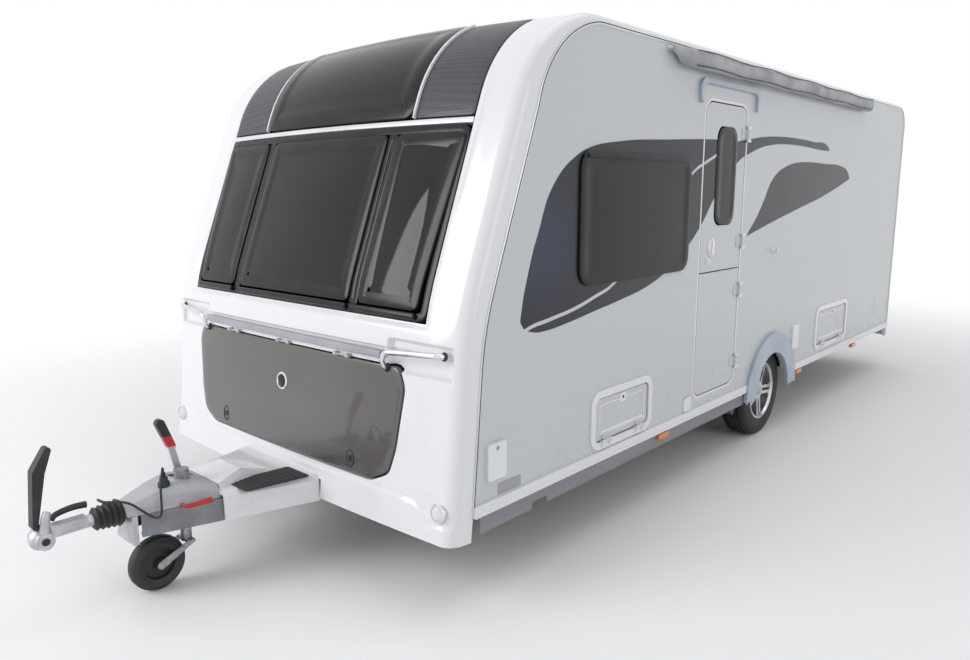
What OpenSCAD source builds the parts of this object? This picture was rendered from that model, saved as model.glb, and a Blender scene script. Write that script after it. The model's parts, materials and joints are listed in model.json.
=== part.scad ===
/* [Body] */
// Width over the side walls
body_w = 2280; // [2100:10:2740]
// Length of the body at floor level
body_l = 6100; // [5100:10:7400]
// Height of the roof's side edge above the ground
roof_z = 2460; // [2380:10:2960]
// Height of the body's lower edge above the ground
foot_z = 305; // [280:5:340]
// Thickness of walls, roof and outer mouldings
wall_t = 30; // [24:1:38]
// Crown of the front, roof and rear across the body
crown = 36; // [10:1:50]
// Height of the floor's top above the ground
floor_z = 470; // [460:1:490]
// Thickness of the floor
floor_t = 42; // [30:1:52]
// Height of the lower edge of the side walls
wall_foot_z = 434; // [428:1:450]

/* [Front profile] */
// Lean of the lower front
foot_rake = 5.2; // [2:0.1:9]
// Lean of the front windows
screen_rake = 20.7; // [14:0.1:28]
// Height where the two leans meet
knee_z = 1187; // [1100:5:1250]
// Radius of the blend between the two leans
knee_r = 1400; // [600:50:1600]
// Radius of the front's turn into the roof
brow_r = 580; // [400:10:700]
// Width of the front moulding on the side wall
front_flange = 113; // [90:1:130]
// Depth of the roof edge on the side wall
roof_flange = 34; // [30:1:60]

/* [Rear profile] */
// Radius of the roof's turn into the rear
rear_r = 230; // [140:10:300]
// Width of the rear moulding on the side wall
rear_flange = 80; // [60:1:110]
// Radius of the upright corners at the front and rear
corner_r = 60; // [46:1:80]
// Radius of the long edges of the roof
roof_edge_r = 31; // [31:1:34]

/* [Front windows] */
// Half width of the front window and roof panel opening
screen_half = 930; // [800:5:960]
// Distance up the skin from its foot to the window frame's foot
screen_s0 = 872; // [850:1:960]
// Distance up the skin to the top of the window frame
screen_s1 = 1722; // [1500:1:1760]
// Distance up the skin to the foot of the roof panels
brow_s0 = 1752; // [1740:1:1800]
// Distance up the skin to the top of the roof panels
brow_s1 = 2350; // [2200:1:2420]
// Half distance between the two mullions
mullion_x = 478; // [400:2:560]
// Width of a mullion
mullion_w = 58; // [40:1:80]
// Half width of the skylight
skylight_half = 574; // [480:2:620]
// Gap between fixed panels of the front
seam = 1; // [0.5:0.5:2]

/* [Front locker] */
// Half width of the front locker door
locker_half = 830; // [700:5:880]
// Height of the top of the front locker door
locker_top_z = 985; // [960:1:1000]
// Height of the foot of the front locker door
locker_foot_z = 482; // [470:1:520]
// Thickness of the front locker door
locker_t = 24; // [18:1:28]
// Running gap round doors and lids
gap = 7; // [6:0.5:8]
// Length of the locker behind the front panel
locker_l = 520; // [460:5:600]

/* [Entrance door] */
// Front edge of the entrance door
door_y0 = 2010; // [1960:5:2040]
// Width of the entrance door
door_w = 525; // [500:5:560]
// Foot of the entrance door above the ground
door_z0 = 515; // [510:1:530]
// Height of the entrance door
door_h = 1665; // [1500:5:1700]
// Height of the split between the two leaves
door_split_z = 1235; // [1100:5:1300]
// Width of the door frame's visible edge
frame_w = 14; // [10:1:20]
// Radius of the door's corners
door_r = 70; // [40:2:100]
// Distance of the hinge pins from the wall's face
hinge_off = 13; // [12:0.5:18]
// Radius of the hinge pins
pin_r = 4; // [3:0.5:6]

/* [Side windows] */
// Front edge of the front side window
window_y0 = 820; // [800:5:880]
// Width of the front side window
window_w = 1030; // [800:5:1060]
// Foot of the side windows
window_z0 = 1270; // [1240:5:1320]
// Height of the side windows
window_h = 610; // [500:5:640]
// Thickness of a window pane
pane_t = 20; // [14:1:26]
// Overlap of a pane on the wall round its hole
pane_lap = 32; // [24:1:40]

/* [Running gear] */
// Distance of the axle behind the body's front foot
axle_y = 3159; // [3100:5:3220]
// Outer diameter of a road tyre
tyre_d = 629; // [560:1:650]
// Width of a road tyre
tyre_w = 185; // [155:5:205]
// Diameter of the wheel rim's seat
rim_d = 380; // [330:1:400]
// Gap between the tyre's outer face and the wall's inner face
tyre_in = 14; // [10:1:30]
// Inner radius of the wheel arch trim
arch_r = 284; // [270:1:300]
// Width of the wheel arch trim
arch_w = 140; // [100:5:150]
// Radius of the stub axle
stub_r = 20; // [16:1:26]
// Running clearance of pins and stubs in their bores
run = 0.05; // [0.03:0.01:0.08]

/* [Chassis] */
// Half distance between the main rails
rail_x = 640; // [560:5:700]
// Depth of the main rails
rail_h = 92; // [80:2:110]
// Thickness of the rail metal
rail_t = 6; // [4:0.5:8]
// Flange width of the main rails
rail_w = 50; // [40:1:60]
// Height of the arms' lower edge above the ground
arm_z = 288; // [284:1:296]
// Distance of the coupling ball ahead of the front foot
ball_y = 1100; // [1000:5:1300]
// Height of the coupling ball centre above the ground
ball_z = 385; // [380:1:400]
// Distance of the drawbar housing's front ahead of the foot
nose_y = 800; // [760:5:840]

/* [Jockey wheel] */
// Distance of the jockey leg ahead of the front foot
jockey_y = 530; // [500:5:560]
// Radius of the jockey wheel
jockey_r = 120; // [100:1:122]
// Width of the jockey wheel
jockey_w = 76; // [50:1:80]
// Distance of the wheel's axle from the leg's axis
jockey_trail = 138; // [130:1:145]
// Radius of the jockey leg
leg_r = 24; // [20:0.5:26]

/* [Steadies] */
// Distance of the steadies from the centre line
steady_x = 900; // [860:5:940]
// Length of a steady leg
steady_l = 480; // [420:5:500]
// Pivot of the front steadies behind the front foot
steady_front_y = 1050; // [1000:5:1100]
// Pivot of the rear steadies ahead of the body's rear end
steady_rear_in = 1020; // [950:5:1080]

/* [Hidden] */
$fn = 48;

half_w = body_w / 2;
inner_w = half_w - wall_t;
white = "white";
wall_colour = [0.90, 0.91, 0.91];
dark = [0.13, 0.13, 0.14];
steel = [0.66, 0.68, 0.69];
grey = [0.55, 0.57, 0.60];

// The origin is on the ground under the middle of the whole trailer.
head_l = 46;
rear_lamp_t = 22;
rear_out = bow(half_w - 470) + rear_lamp_t;
front_shift = -(body_l + rear_out - ball_y - head_l) / 2;
module from_front() translate([0, front_shift, 0]) children();

// The drawbar's two arms, which the front panel and the covers clear
arm_w = 44;
arm_h = 100;
rail_y0 = 900;
housing_y = -nose_y + 36;
// Outer faces of the two arms at the housing and at the rails
arm_front_x = 78;
arm_back_x = rail_x - 38;
arm_turn = atan((arm_back_x - arm_front_x) / (rail_y0 - housing_y));
// Outer face of an arm at y
function arm_face(y) = arm_front_x + (y - housing_y - arm_w * sin(arm_turn)) * tan(arm_turn);
notch_half = arm_face(80) + 10;
notch_z = arm_z + arm_h + 4;

// ---------------------------------------------------------------------------
// The body's skin follows one path in the side view, from the front foot up over
// the roof to the rear foot. Its lean turns from upright (0) to level (90) to
// straight down (180). Each row is [length, lean at its start, lean at its end].
function turn_l(r, a, b) = r * (b - a) * PI / 180;
function tangent_l(r, a, b) = r * tan((b - a) / 2);
rear_lean = 179.3;
knee_cut = tangent_l(knee_r, foot_rake, screen_rake);
brow_cut = tangent_l(brow_r, screen_rake, 90);
rear_cut = tangent_l(rear_r, 90, rear_lean);
knee_y = (knee_z - foot_z) * tan(foot_rake);
foot_len = (knee_z - foot_z) / cos(foot_rake) - knee_cut;
screen_len = (roof_z - knee_z) / cos(screen_rake) - knee_cut - brow_cut;
brow_y = knee_y + (roof_z - knee_z) * tan(screen_rake);
roof_end_y = body_l - (roof_z - foot_z) * tan(180 - rear_lean) - rear_cut;
roof_len = roof_end_y - brow_y - brow_cut;
rear_len = (roof_z - foot_z) / cos(180 - rear_lean) - rear_cut;
PATH = [
    [foot_len, foot_rake, foot_rake],
    [turn_l(knee_r, foot_rake, screen_rake), foot_rake, screen_rake],
    [screen_len, screen_rake, screen_rake],
    [turn_l(brow_r, screen_rake, 90), screen_rake, 90],
    [roof_len, 90, 90],
    [turn_l(rear_r, 90, rear_lean), 90, rear_lean],
    [rear_len, rear_lean, rear_lean]
];
function path_len(n) = n == 0 ? 0 : PATH[n - 1][0] + path_len(n - 1);
s_roof = path_len(4);
s_rear = path_len(5);
s_end = path_len(7);

// A step of length d along a row, as a change in [y, z].
function step(row, d) = let(lean = row[1] + (row[2] - row[1]) * d / row[0])
    row[1] == row[2] ? d * [sin(row[1]), cos(row[1])]
    : row[0] / ((row[2] - row[1]) * PI / 180)
        * [cos(row[1]) - cos(lean), sin(lean) - sin(row[1])];
// The point and lean at distance s along the path: [y, z, lean].
function at(s, i = 0, p = [0, foot_z]) =
    s <= PATH[i][0] || i == len(PATH) - 1
    ? let(q = p + step(PATH[i], s))
        [q[0], q[1], PATH[i][1] + (PATH[i][2] - PATH[i][1]) * s / PATH[i][0]]
    : at(s - PATH[i][0], i + 1, p + step(PATH[i], PATH[i][0]));
// The point at depth d inside the skin at distance s: [y, z].
function inside(s, d) = let(p = at(s)) [p[0] + d * cos(p[2]), p[1] - d * sin(p[2])];
// How far the outer mouldings reach on to the side wall at distance s.
function clamped(v) = min(max(v, 0), 1);
function flange(s) = let(
    f = clamped((s - path_len(3)) / PATH[3][0]), r = clamped((s - s_rear) / PATH[5][0]))
    front_flange + (roof_flange - front_flange) * f + (rear_flange - roof_flange) * r;
function edge_r(s) = let(
    f = clamped((s - path_len(3)) / PATH[3][0]), r = clamped((s - s_rear) / PATH[5][0]))
    corner_r + (roof_edge_r - corner_r) * f + (corner_r - roof_edge_r) * r;
// How far the skin stands out of its own edge line, x from the centre line.
function bow(x) = crown * (1 - (x / half_w) * (x / half_w));
function spaced(a, b, n) = [for (i = [0 : n]) a + (b - a) * i / n];
front_rows = concat(
    [0], spaced(foot_len, path_len(2), 4), spaced(path_len(3), s_roof, 9));
rear_rows = concat(spaced(s_rear, path_len(6), 7), [s_end]);

// Half of the skin's section from the centre to the side: [x, depth].
function half_section(r, reach, t) = let(w = half_w - t, q = max(r - t, 3))
    concat(
        [for (i = [0 : 5]) let(x = (w - q) * i / 5) [x, t - bow(x)]],
        [for (a = [18 : 18 : 90]) [w - q + q * sin(a), t + q - q * cos(a) - bow(w - q) * (1 - a / 90)]],
        [[w, reach]]);
function mirrored(h) = [for (i = [len(h) - 1 : -1 : 1]) [-h[i][0], h[i][1]]];
function full(h) = concat(mirrored(h), h);
function reversed(l) = [for (i = [len(l) - 1 : -1 : 0]) l[i]];
function ring(s) = concat(
    full(half_section(edge_r(s), flange(s), 0)),
    reversed(full(half_section(edge_r(s), flange(s), wall_t))));
// A closed tube of rings of n points each, with flat ends.
module rings(points, n) {
    m = len(points) / n;
    polyhedron(points, concat(
        [[for (i = [0 : n - 1]) i]],
        [for (k = [0 : m - 2], i = [0 : n - 1])
            [k * n + i, (k + 1) * n + i, (k + 1) * n + (i + 1) % n, k * n + (i + 1) % n]],
        [[for (i = [n - 1 : -1 : 0]) (m - 1) * n + i]]), convexity = 8);
}
module skin(rows) {
    section_n = len(ring(rows[0]));
    rings([for (s = rows, p = ring(s)) let(q = inside(s, p[1])) [p[0], q[0], q[1]]], section_n);
}
// A slab that follows the skin, from depth d0 to d1, between two lines of x that
// may lean: at row s0 it spans x0 to x1, and at row s1 it spans x2 to x3.
module slab(s0, s1, x0, x1, x2, x3, d0, d1, rows = 4, cols = 6) {
    xs = function (f, g) (x0 + (x2 - x0) * f) * (1 - g) + (x1 + (x3 - x1) * f) * g;
    pts = [for (k = [0 : rows]) let(f = k / rows, s = s0 + (s1 - s0) * f)
        each concat(
            [for (i = [0 : cols]) let(x = xs(f, i / cols), q = inside(s, d0 - bow(x)))
                [x, q[0], q[1]]],
            [for (i = [cols : -1 : 0]) let(x = xs(f, i / cols), q = inside(s, d1 - bow(x)))
                [x, q[0], q[1]]])];
    rings(pts, 2 * (cols + 1));
}
// Extrudes a shape drawn in [y, z] across the body, from x0 to x1.
module across(x0, x1)
    translate([x0, 0, 0]) rotate([90, 0, 90]) linear_extrude(x1 - x0) children();
// Extrudes a shape drawn in [x, z] along the body, from y0 to y1.
module along(y0, y1)
    translate([0, y1, 0]) rotate([90, 0, 0]) linear_extrude(y1 - y0) children();
// A rectangle with round corners, from its lower left corner.
module rounded(w, h, r) {
    translate([r, 0]) square([w - 2 * r, h]);
    translate([0, r]) square([w, h - 2 * r]);
    for (x = [r, w - r], y = [r, h - r]) translate([x, y]) circle(r);
}
module box(lo, hi) translate(lo) cube(hi - lo);
module both_sides() {
    children();
    mirror([1, 0, 0]) children();
}
module rod(p, axis, r, l) translate(p)
    rotate(axis == "x" ? [0, 90, 0] : axis == "y" ? [-90, 0, 0] : [0, 0, 0]) cylinder(r = r, h = l);

// ---------------------------------------------------------------------------
// Outer shell
module locker_outline(grow = 0) {
    slope = 70;
    w = locker_half + grow;
    lo = locker_foot_z - grow;
    hi = locker_top_z + grow;
    polygon([
        [-w + 190, lo], [w - 190, lo], [w - 110, lo + 30], [w - slope, lo + 110],
        [w, hi - 75], [w - 12, hi - 35], [w - 60, hi], [-w + 60, hi], [-w + 12, hi - 35],
        [-w, hi - 75], [-w + slope, lo + 110], [-w + 110, lo + 30]]);
}
module front_panel() from_front() color(white) difference() {
    skin(front_rows);
    // Opening for the front windows and the roof panels
    slab(screen_s0, brow_s1, -screen_half, screen_half, -screen_half, screen_half,
        -20, wall_t + 8, 12, 8);
    // Opening of the front locker
    along(-200, locker_l - 200) locker_outline(gap);
    // Notch over the drawbar, and slots for the lid's hinge brackets
    box([-notch_half, -100, 0], [notch_half, 200, notch_z]);
    for (x = LID_HINGES, side = [-1, 1]) translate([x + side * 42 - 10.3, 0, 0])
        box([0, lid_hinge_y - 20, lid_hinge_z - 24], [20.6, lid_hinge_y + 112, lid_hinge_z + 8.3]);
}
module roof() from_front() color(white) difference() {
    skin([s_roof, s_rear]);
    for (c = ROOFLIGHTS) translate([c[0] - c[2] / 2, c[1] - c[2] / 2, roof_z - 200])
        cube([c[2], c[2], 400]);
}
module rear_panel() from_front() color(white) difference() {
    skin(rear_rows);
    along(body_l - 400, body_l + 200) translate([-rear_win_w / 2, rear_win_z])
        rounded(rear_win_w, rear_win_h, win_r);
}
win_r = 70;
rear_win_w = 900;
rear_win_h = 520;
rear_win_z = 1320;
// Roof openings: [x, y, size]
ROOFLIGHTS = [[0, 1550, 400], [0, 3350, 560], [-420, 4550, 280]];
rooflight_h = 95;

// Side windows: [side, front edge, width, foot, height]
WINDOWS = [
    [1, window_y0, window_w, window_z0, window_h],
    [-1, window_y0, window_w, window_z0, window_h],
    [-1, window_y0 + window_w + 300, 700, window_z0 + 60, window_h - 60],
    [-1, 4330, 560, window_z0 + 120, window_h - 120]
];
// Side hatches: [front edge, foot, width, height] of the moving panel
SERVICE = [993, 495, 483, 210];
HATCH = [4040, 515, 660, 255];
hatch_rim = 44;
hatch_frame_t = 8;
door_z1 = door_z0 + door_h;
module door_shape(grow) translate([door_y0 - grow, door_z0 - grow])
    rounded(door_w + 2 * grow, door_h + 2 * grow, door_r + grow);
module hatch_shape(h, grow) translate([h[0] - grow, h[1] - grow])
    rounded(h[2] + 2 * grow, h[3] + 2 * grow, 30 + grow);
module wall_shape() polygon(
    [for (s = reversed(wall_rows)) inside(s, flange(s))]);
wall_s0 = (wall_foot_z - foot_z) / cos(foot_rake) + front_flange * tan(foot_rake);
wall_s1 = s_end - (wall_foot_z - foot_z) / cos(180 - rear_lean)
    - rear_flange * tan(180 - rear_lean);
wall_rows = concat([wall_s0], [for (i = [1 : len(front_rows) - 1]) front_rows[i]],
    [for (i = [0 : len(rear_rows) - 2]) rear_rows[i]], [wall_s1]);
module wall_plate(side) across(side > 0 ? inner_w : -half_w, side > 0 ? half_w : -inner_w)
    difference() {
        wall_shape();
        translate([axle_y, tyre_d / 2]) circle(arch_r + 10);
        translate([axle_y - arch_r - 10, 0]) square([2 * (arch_r + 10), tyre_d / 2]);
        for (w = WINDOWS) if (w[0] == side) translate([w[1] + pane_lap, w[3] + pane_lap])
            rounded(w[2] - 2 * pane_lap, w[4] - 2 * pane_lap, win_r);
        if (side > 0) {
            door_shape(gap + frame_w);
            hatch_shape(SERVICE, gap);
            hatch_shape(HATCH, gap);
        }
    }
module side_wall_near() from_front() color(wall_colour) wall_plate(1);
module side_wall_off() from_front() color(wall_colour) wall_plate(-1);
floor_y0 = 80;
module floor() from_front() color([0.45, 0.40, 0.34]) difference() {
    box([-inner_w, floor_y0, floor_z - floor_t], [inner_w, body_l - 66, floor_z]);
    both_sides() box([arch_box_x - box_t, axle_y - tub_r - box_t, 0],
        [half_w, axle_y + tub_r + box_t, floor_z + 1]);
}

// ---------------------------------------------------------------------------
// Front windows and roof panels
pane_x = mullion_x - mullion_w / 2;
pane_s0 = screen_s0 + 42;
pane_s1 = screen_s1 - 36;
// The three panes: [x at foot, x at foot, x at top, x at top]
PANES = [
    [-pane_x, pane_x, -pane_x, pane_x],
    [pane_x + mullion_w, screen_half - 54, pane_x + mullion_w, screen_half - 10],
    [-screen_half + 54, -pane_x - mullion_w, -screen_half + 10, -pane_x - mullion_w]
];
module front_window_frame() from_front() color(dark) difference() {
    slab(screen_s0 + seam, screen_s1, -screen_half + seam, screen_half - seam,
        -screen_half + seam, screen_half - seam, -6, wall_t, 6, 8);
    for (p = PANES)
        slab(pane_s0, pane_s1, p[0], p[1], p[2], p[3], -20, wall_t + 20, 6, 4);
}
module front_windows() from_front() color([0.2, 0.22, 0.24, 0.6]) for (p = PANES)
    slab(pane_s0 + seam / 2, pane_s1 - seam / 2, p[0] + seam / 2, p[1] - seam / 2,
        p[2] + seam / 2, p[3] - seam / 2, -9, 9, 6, 4);
module brow_panels() from_front() color([0.22, 0.23, 0.25]) {
    both_sides() slab(brow_s0, brow_s1 - seam, skylight_half, screen_half - seam, skylight_half,
        screen_half - seam, 2, wall_t, 8, 3);
    // Silver band between the windows and the roof panels
    slab(screen_s1 + seam / 2, brow_s0 - seam / 2, -screen_half + seam, screen_half - seam,
        -screen_half + seam, screen_half - seam, -4, wall_t, 1, 8);
}
module skylight() from_front() color([0.1, 0.12, 0.15, 0.7])
    slab(brow_s0, brow_s1 - seam, -skylight_half, skylight_half, -skylight_half,
        skylight_half, -6, 14, 8, 8);

// ---------------------------------------------------------------------------
// Side and rear windows
module side_windows() from_front() color([0.15, 0.14, 0.13, 0.7]) for (w = WINDOWS)
    across(w[0] > 0 ? half_w + 2 : -half_w - 2 - pane_t, w[0] > 0 ? half_w + 2 + pane_t : -half_w - 2)
        translate([w[1], w[3]]) rounded(w[2], w[4], win_r + pane_lap);
module window_ring(w) difference() {
    translate([w[1] + pane_lap, w[3] + pane_lap])
        rounded(w[2] - 2 * pane_lap, w[4] - 2 * pane_lap, win_r);
    translate([w[1] + pane_lap + 20, w[3] + pane_lap + 20])
        rounded(w[2] - 2 * pane_lap - 40, w[4] - 2 * pane_lap - 40, win_r - 20);
}
module window_frames() from_front() color(dark) for (w = WINDOWS)
    across(w[0] > 0 ? inner_w : -half_w - 2, w[0] > 0 ? half_w + 2 : -inner_w)
        window_ring(w);
module rear_window() from_front() color([0.15, 0.14, 0.13, 0.7])
    along(rear_face_y(rear_win_z) - crown - 14, rear_face_y(rear_win_z) + 2 + pane_t)
        translate([-rear_win_w / 2 + 0.3, rear_win_z + 0.3])
            rounded(rear_win_w - 0.6, rear_win_h - 0.6, win_r);
// Where the rear face's bowed middle stands at height z.
function rear_face_y(z) = body_l - (z - foot_z) * tan(180 - rear_lean) + crown;

// ---------------------------------------------------------------------------
// Entrance door: two leaves hung on the rear edge of one frame
door_y1 = door_y0 + door_w;
hinge_x = half_w + hinge_off;
hinge_y = door_y1 + gap / 2;
hinge_l = 60;
knuckle_r = pin_r + 4;
strap_t = 4;
// Heights of the hinge centres, lower leaf then upper leaf
LOWER_HINGES = [door_z0 + 130, door_split_z - 140];
UPPER_HINGES = [door_split_z + 160, door_z1 - 150];
module hinge_bracket(z) {
    // A pin held by a knuckle above and below, on a plate screwed to the wall
    rod([hinge_x, hinge_y, z - hinge_l / 2], "z", pin_r, hinge_l);
    for (side = [-1, 1]) translate([0, 0, z + side * (hinge_l / 2 + 8) - 8])
        union() {
            rod([hinge_x, hinge_y, 0], "z", knuckle_r, 16);
            box([half_w + 1.2, hinge_y, 0], [hinge_x, door_y1 + gap + frame_w + 28, 16]);
        }
    box([half_w, door_y1 + gap + frame_w, z - hinge_l / 2 - 16],
        [half_w + 4, door_y1 + gap + frame_w + 28, z + hinge_l / 2 + 16]);
}
module door_frame() from_front() color([0.75, 0.77, 0.78]) {
    across(inner_w, half_w + 1) difference() {
        door_shape(gap + frame_w);
        door_shape(gap);
    }
    for (z = concat(LOWER_HINGES, UPPER_HINGES)) hinge_bracket(z);
}
module leaf(z0, z1, hinges) difference() {
    union() {
        difference() {
            across(inner_w, half_w) intersection() {
                door_shape(0);
                translate([door_y0 - 10, z0]) square([door_w + 20, z1 - z0]);
            }
        }
        for (z = hinges) {
            rod([hinge_x, hinge_y, z - hinge_l / 2 + 1], "z", knuckle_r, hinge_l - 2);
            box([half_w - 1, door_y1 - 60, z - hinge_l / 2 + 1],
                [half_w + strap_t, door_y1 - 1, z + hinge_l / 2 - 1]);
            box([hinge_x - strap_t, door_y1 - 8, z - hinge_l / 2 + 1],
                [hinge_x + strap_t / 2, hinge_y, z + hinge_l / 2 - 1]);
            box([half_w, door_y1 - 8, z - hinge_l / 2 + 1],
                [hinge_x, door_y1 - 1, z + hinge_l / 2 - 1]);
        }
    }
    for (z = hinges) rod([hinge_x, hinge_y, z - hinge_l], "z", pin_r + run, 2 * hinge_l);
}
slot_y = 145;
slot_w = 265;
slot_z = 1500;
slot_h = 560;
module door_upper() from_front() color(white) difference() {
    leaf(door_split_z + gap / 2, door_z1 + 1, UPPER_HINGES);
    across(inner_w - 1, half_w + 1) translate([door_y0 + slot_y, slot_z])
        rounded(slot_w, slot_h, 70);
}
module door_lower() from_front() color(white)
    leaf(door_z0 - 1, door_split_z - gap / 2, LOWER_HINGES);
module door_window() from_front() color([0.1, 0.1, 0.11, 0.8]) {
    across(half_w - 14, half_w + 8) translate([door_y0 + slot_y + 1, slot_z + 1])
        rounded(slot_w - 2, slot_h - 2, 69);
}

// ---------------------------------------------------------------------------
// Front locker: a lid under the grey bar, hung at its top edge
lid_hinge_z = locker_top_z + 10;
lid_hinge_y = at((locker_top_z - foot_z) / cos(foot_rake))[0] - crown - knuckle_r - 2;
LID_HINGES = [-450, 0, 450];
module locker_door() from_front() color([0.40, 0.39, 0.37]) difference() {
    union() {
        intersection() {
            slab(40, 760, -half_w + 120, half_w - 120, -half_w + 120, half_w - 120,
                0, locker_t, 4, 12);
            along(-200, 400) locker_outline();
        }
        for (x = LID_HINGES) {
            rod([x - 30, lid_hinge_y, lid_hinge_z], "x", knuckle_r, 60);
            box([x - 30, lid_hinge_y - 4, lid_hinge_z - 26], [x + 30, lid_hinge_y + 4, lid_hinge_z]);
            box([x - 30, lid_hinge_y - 4, lid_hinge_z - 34],
                [x + 30, lid_hinge_y + crown + 8, lid_hinge_z - 20]);
        }
    }
    for (x = LID_HINGES) rod([x - 60, lid_hinge_y, lid_hinge_z], "x", pin_r + run, 120);
}
module lid_brackets() for (x = LID_HINGES, side = [-1, 1])
    translate([x + side * 42 - 10, 0, 0]) {
        rod([0, lid_hinge_y, lid_hinge_z], "x", knuckle_r, 20);
        box([0, lid_hinge_y, lid_hinge_z - 4], [20, lid_hinge_y + 110, lid_hinge_z + 7]);
    }
module locker_box() from_front() color([0.70, 0.70, 0.71]) {
    // Bulkhead and top of the gas locker
    box([-inner_w, locker_l, floor_z], [inner_w, locker_l + 12, locker_top_z + 60]);
    box([-inner_w, 130, locker_top_z + 48], [inner_w, locker_l, locker_top_z + 60]);
    // Pins of the lid, on brackets behind the bar
    for (x = LID_HINGES) rod([x - 50, lid_hinge_y, lid_hinge_z], "x", pin_r, 100);
    lid_brackets();
}
bar_z0 = lid_hinge_z + 12;
bar_h = 40;
bar_half = 716;
module front_bar() from_front() color([0.60, 0.61, 0.62]) {
    // Bowed bar between the handles
    slab((bar_z0 - foot_z) / cos(foot_rake), (bar_z0 + bar_h - foot_z) / cos(foot_rake),
        -bar_half, bar_half, -bar_half, bar_half, -38, -0.5, 2, 10);
    // Chrome handles out to the corners
    both_sides() slab((bar_z0 + 4 - foot_z) / cos(foot_rake),
        (bar_z0 + bar_h + 8 - foot_z) / cos(foot_rake),
        bar_half, half_w - 90, bar_half, half_w - 90, -44, -0.5, 2, 6);
}

// ---------------------------------------------------------------------------
// Side hatches, both hinged along their foot
hatch_t = 22;
hatch_pin_x = half_w + hatch_frame_t + knuckle_r + 1;
function hatch_pin_z(h) = h[1] - gap / 2;
function hatch_pins(h) = [h[0] + h[2] * 0.18, h[0] + h[2] * 0.82];
module hatch(h) difference() {
    union() {
        across(half_w - hatch_t, half_w) hatch_shape(h, 0);
        for (y = hatch_pins(h)) {
            rod([hatch_pin_x, y - 25, hatch_pin_z(h)], "y", knuckle_r, 50);
            box([half_w - 1, y - 25, h[1] + 2], [half_w + strap_t, y + 25, h[1] + 45]);
            box([half_w, y - 25, h[1] + 2], [hatch_pin_x, y + 25, h[1] + 8]);
            box([hatch_pin_x - 2, y - 25, hatch_pin_z(h)], [hatch_pin_x + 2, y + 25, h[1] + 8]);
        }
    }
    for (y = hatch_pins(h)) rod([hatch_pin_x, y - 60, hatch_pin_z(h)], "y", pin_r + run, 120);
}
module service_door() from_front() color(white) hatch(SERVICE);
module rear_hatch() from_front() color(wall_colour) hatch(HATCH);
module hatch_frames() from_front() color(white) for (h = [SERVICE, HATCH]) {
    across(half_w, half_w + hatch_frame_t) difference() {
        hatch_shape(h, hatch_rim);
        hatch_shape(h, gap);
    }
    for (y = hatch_pins(h)) {
        rod([hatch_pin_x, y - 42, hatch_pin_z(h)], "y", pin_r, 84);
        for (side = [-1, 1]) translate([0, y + side * 34 - 8, 0]) union() {
            rod([hatch_pin_x, 0, hatch_pin_z(h)], "y", knuckle_r, 16);
            box([half_w + 2, 0, hatch_pin_z(h) - 26], [hatch_pin_x, 16, hatch_pin_z(h) + 2]);
        }
    }
}
// Fixed flaps, vents and trim: [side, front edge, foot, width, height, thickness]
FLAPS = [
    [1, 199, 530, 115, 156, 16], [1, 1887, 447, 84, 85, 7], [1, 3508, 563, 119, 176, 14],
    [-1, 2250, 620, 480, 240, 12], [-1, 2250, 980, 480, 240, 12], [-1, 3900, 560, 320, 300, 12]
];
module side_flaps() from_front() color(white) for (f = FLAPS)
    across(f[0] > 0 ? half_w : -half_w - f[5], f[0] > 0 ? half_w + f[5] : -half_w)
        translate([f[1], f[2]]) rounded(f[3], f[4], 14);

// ---------------------------------------------------------------------------
// Lower side trim
trim_y0 = 170;
rail_drop = 36;
arch_out = arch_r + arch_w;
module arch_shape(r, foot) difference() {
    union() {
        translate([axle_y, tyre_d / 2]) circle(r);
        translate([axle_y - r, foot]) square([2 * r, tyre_d / 2 - foot]);
    }
    translate([axle_y - r - 10, foot - 1000]) square([2 * r + 20, 1000]);
}
module side_rails() from_front() color([0.93, 0.94, 0.94]) both_sides()
    across(half_w, half_w + 14) difference() {
        translate([trim_y0 - 50, wall_foot_z - rail_drop])
            square([body_l - rear_flange - trim_y0 + 50, rail_drop + 10]);
        arch_shape(arch_out + 1, 0);
    }
module side_skirts() from_front() color(grey) both_sides() across(half_w - 18, half_w - 4)
    difference() {
        polygon([
            [trim_y0, wall_foot_z], [trim_y0, foot_z + 4], [axle_y - arch_out - 2, foot_z + 8],
            [axle_y - arch_out - 2, wall_foot_z]]);
        translate([steady_front_y - steady_l - 60, foot_z]) square([112, 36]);
    }
module arch_trims() from_front() color([0.74, 0.78, 0.82]) both_sides()
    across(half_w, half_w + 24) difference() {
        arch_shape(arch_out, foot_z + 20);
        arch_shape(arch_r, foot_z - 100);
    }
arch_box_x = half_w - wall_t - tyre_in - tyre_w - 70;
box_t = 12;
tub_r = tyre_d / 2 + 34;
module wheel_boxes() from_front() color([0.12, 0.12, 0.12]) both_sides() {
    across(arch_box_x, inner_w) difference() {
        arch_shape(tub_r + box_t, floor_z - floor_t);
        arch_shape(tub_r, 0);
    }
    across(arch_box_x - box_t, arch_box_x) arch_shape(tub_r + box_t, floor_z - floor_t);
}

// ---------------------------------------------------------------------------
// Chassis
rail_z1 = floor_z - floor_t;
rail_y1 = body_l - 820;
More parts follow.
